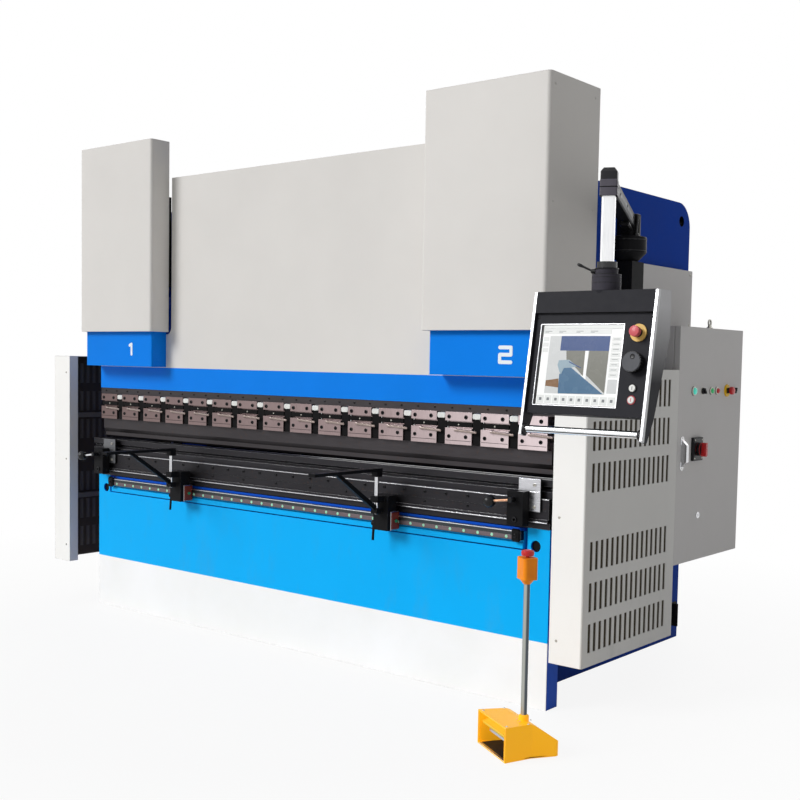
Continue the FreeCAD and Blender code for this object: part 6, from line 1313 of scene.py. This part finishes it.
def rear_details():
    """Bolts of the cross beams, frames and cylinders, the tank's fittings and the frame's small bracket."""
    piece = Piece("rear_fittings", "machine")
    tank_details(piece)
    low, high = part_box("cross_beams")
    for x, z in product(spread(low.x + 0.06, high.x - 0.06, 12), (low.z + 0.06, high.z - 0.06)):
        piece.hex_bolt((x, high.y, z), BACKWARD, 0.013, 0.009)
    right_face, left_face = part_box("side_frame_right")[1].x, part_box("side_frame_left")[0].x
    for face, way in ((right_face, RIGHT), (left_face, LEFT)):
        for y, z in product((0.33, 0.43, 1.39, 1.49), (0.09, 0.25, 0.41)):
            piece.hex_bolt((face, y, z), way, 0.014, 0.010)
    bracket = local((right_face, 1.5505, 0.138), BACKWARD, UP)
    half, tall = 0.0335, 0.062
    piece.slab(rounded(-half, -tall, half, tall, 0.008), 0.0, 0.006, "black", bracket, 0.001)
    piece.block((-half, -tall, 0.0), (-0.0275, tall, 0.045), "black", 0.001, bracket)
    for v in (-0.035, 0.035):
        piece.hex_bolt(*spin(bracket @ shifted(0.008, v, 0.006)), 0.008, 0.006)
    for node in ("cylinder_left", "cylinder_right"):
        low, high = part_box(node)
        for x, y in arc((low.x + high.x) / 2, (low.y + high.y) / 2, 0.085, 22.5, 315, 7):
            piece.socket_screw((x, y, high.z - 0.0005), UP, 0.009, 0.008)
    piece.done()


FRAME_INSIDE, FRAME_OUTSIDE, CRANE_HOLE = 1.358, 1.401, (1.529, 0.707)


def gauge_details():
    """Back gauge's screws, tips and sheet cover, scale plates of the throats, and dark discs as painted shade
    in the bed's holes.
    """
    piece = Piece("gauge_fittings", "machine")
    piece.block((-FRAME_INSIDE, 0.585, 0.800), (FRAME_INSIDE, 0.600, 0.985), "filler", 0.002)
    bed_front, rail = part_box("bed_plate")[0].y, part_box("back_gauge")[0].z + 0.0695
    plate = 0.008
    outline = ((0.120, 0.750), (0.460, 0.750), (0.460, 1.300), (0.120, 1.300), (0.120, 1.220), (0.360, 1.220),
               (0.360, 0.830), (0.120, 0.830))
    for side, way in ((-1, LEFT), (1, RIGHT)):
        # painted shade: dark discs set in the bed's lifting holes
        piece.lathe([(0.0255, 0), (0.0255, 0.003), (0, 0.003)], "filler",
                    (side * CRANE_HOLE[0], bed_front + 0.014, CRANE_HOLE[1]), FRONT, 32)
        start = FRAME_OUTSIDE if side > 0 else -FRAME_OUTSIDE - plate
        piece.slab(outline, 0.0, plate, "filler", local((start, 0, 0), BACKWARD, UP))
        for y, z in product((0.150, 0.300), (0.790, 1.260)):
            piece.socket_screw((side * (FRAME_OUTSIDE + plate), y, z), way, 0.008, 0.005, "zinc")
        middle = side * 0.520
        piece.block((middle - 0.033, 0.296, 1.001), (middle + 0.033, 0.3002, 1.026), "bright")
        for y in (0.36, 0.44, 0.52):
            piece.socket_screw((middle, y, 1.0279), UP, 0.007, 0.004)
        for y, dx in product((0.10, 0.25, 0.40, 0.64), (-0.025, 0.025)):
            piece.socket_screw((side * 1.0 + dx, y, rail), UP, 0.006, 0.004)
    piece.done()


rear_details()
gauge_details()


# Stage and light

def seen_rays(n):
    """1 for the rays that show the surroundings: camera, glossy and transmission rays."""
    rays = n.make("LightPath").outputs
    glossy = n.math("MAXIMUM", rays["Is Camera Ray"], rays["Is Glossy Ray"])
    return n.math("MAXIMUM", glossy, rays["Is Transmission Ray"])


def make_floor():
    """Pale floor that is seen as white away from the object, and keeps the object's shadow near it."""
    bpy.ops.mesh.primitive_plane_add(size=60, location=(0, 0, -0.001))
    floor = bpy.context.object
    floor.name = "floor"
    n = Nodes(bpy.data.materials.new("floor_paint"))
    n.shade(Base_Color=n.mix(n.ramp(n.noise(0.8), 0.3, 0.7), (0.70, 0.70, 0.70), (0.74, 0.74, 0.735)),
            Roughness=n.ramp(n.noise(4.0), 0.3, 0.7, 0.55, 0.7), Specular_IOR_Level=0.2)
    away = n.ramp(n.vector("LENGTH", n.place), 1.8, 4.5, 0.90, 1.0)
    mixed = n.make("MixShader", n.product(seen_rays(n), away), n.shader.outputs[0],
                   n.make("Emission").outputs[0])
    n.feed(mixed.outputs[0], n.tree.nodes["Material Output"].inputs["Surface"])
    floor.data.materials.append(n.material)


def make_world():
    """Backdrop that is seen as white, and lights the object softly."""
    world = bpy.data.worlds.new("studio")
    bpy.context.scene.world = world
    n = Nodes(world)
    dim, shown = n.tree.nodes["Background"], n.make("Background", (1, 1, 1, 1), 1.0)
    dim.inputs["Color"].default_value = (1, 1, 1, 1)
    dim.inputs["Strength"].default_value = 0.25
    mixed = n.make("MixShader", seen_rays(n), dim.outputs[0], shown.outputs[0])
    n.feed(mixed.outputs[0], n.tree.nodes["World Output"].inputs["Surface"])


def sun(name, towards, strength, spread_degrees):
    """Soft parallel light that comes from a direction."""
    data = bpy.data.lights.new(name, "SUN")
    data.energy = strength
    data.angle = math.radians(spread_degrees)
    light = bpy.data.objects.new(name, data)
    light.matrix_world = along((0, 0, 0), towards)
    bpy.context.scene.collection.objects.link(light)


make_floor()
make_world()
sun("key", (-0.45, -0.75, 0.52), 2.3, 24)
sun("back_fill", (-0.4, 0.85, 0.5), 0.9, 60)
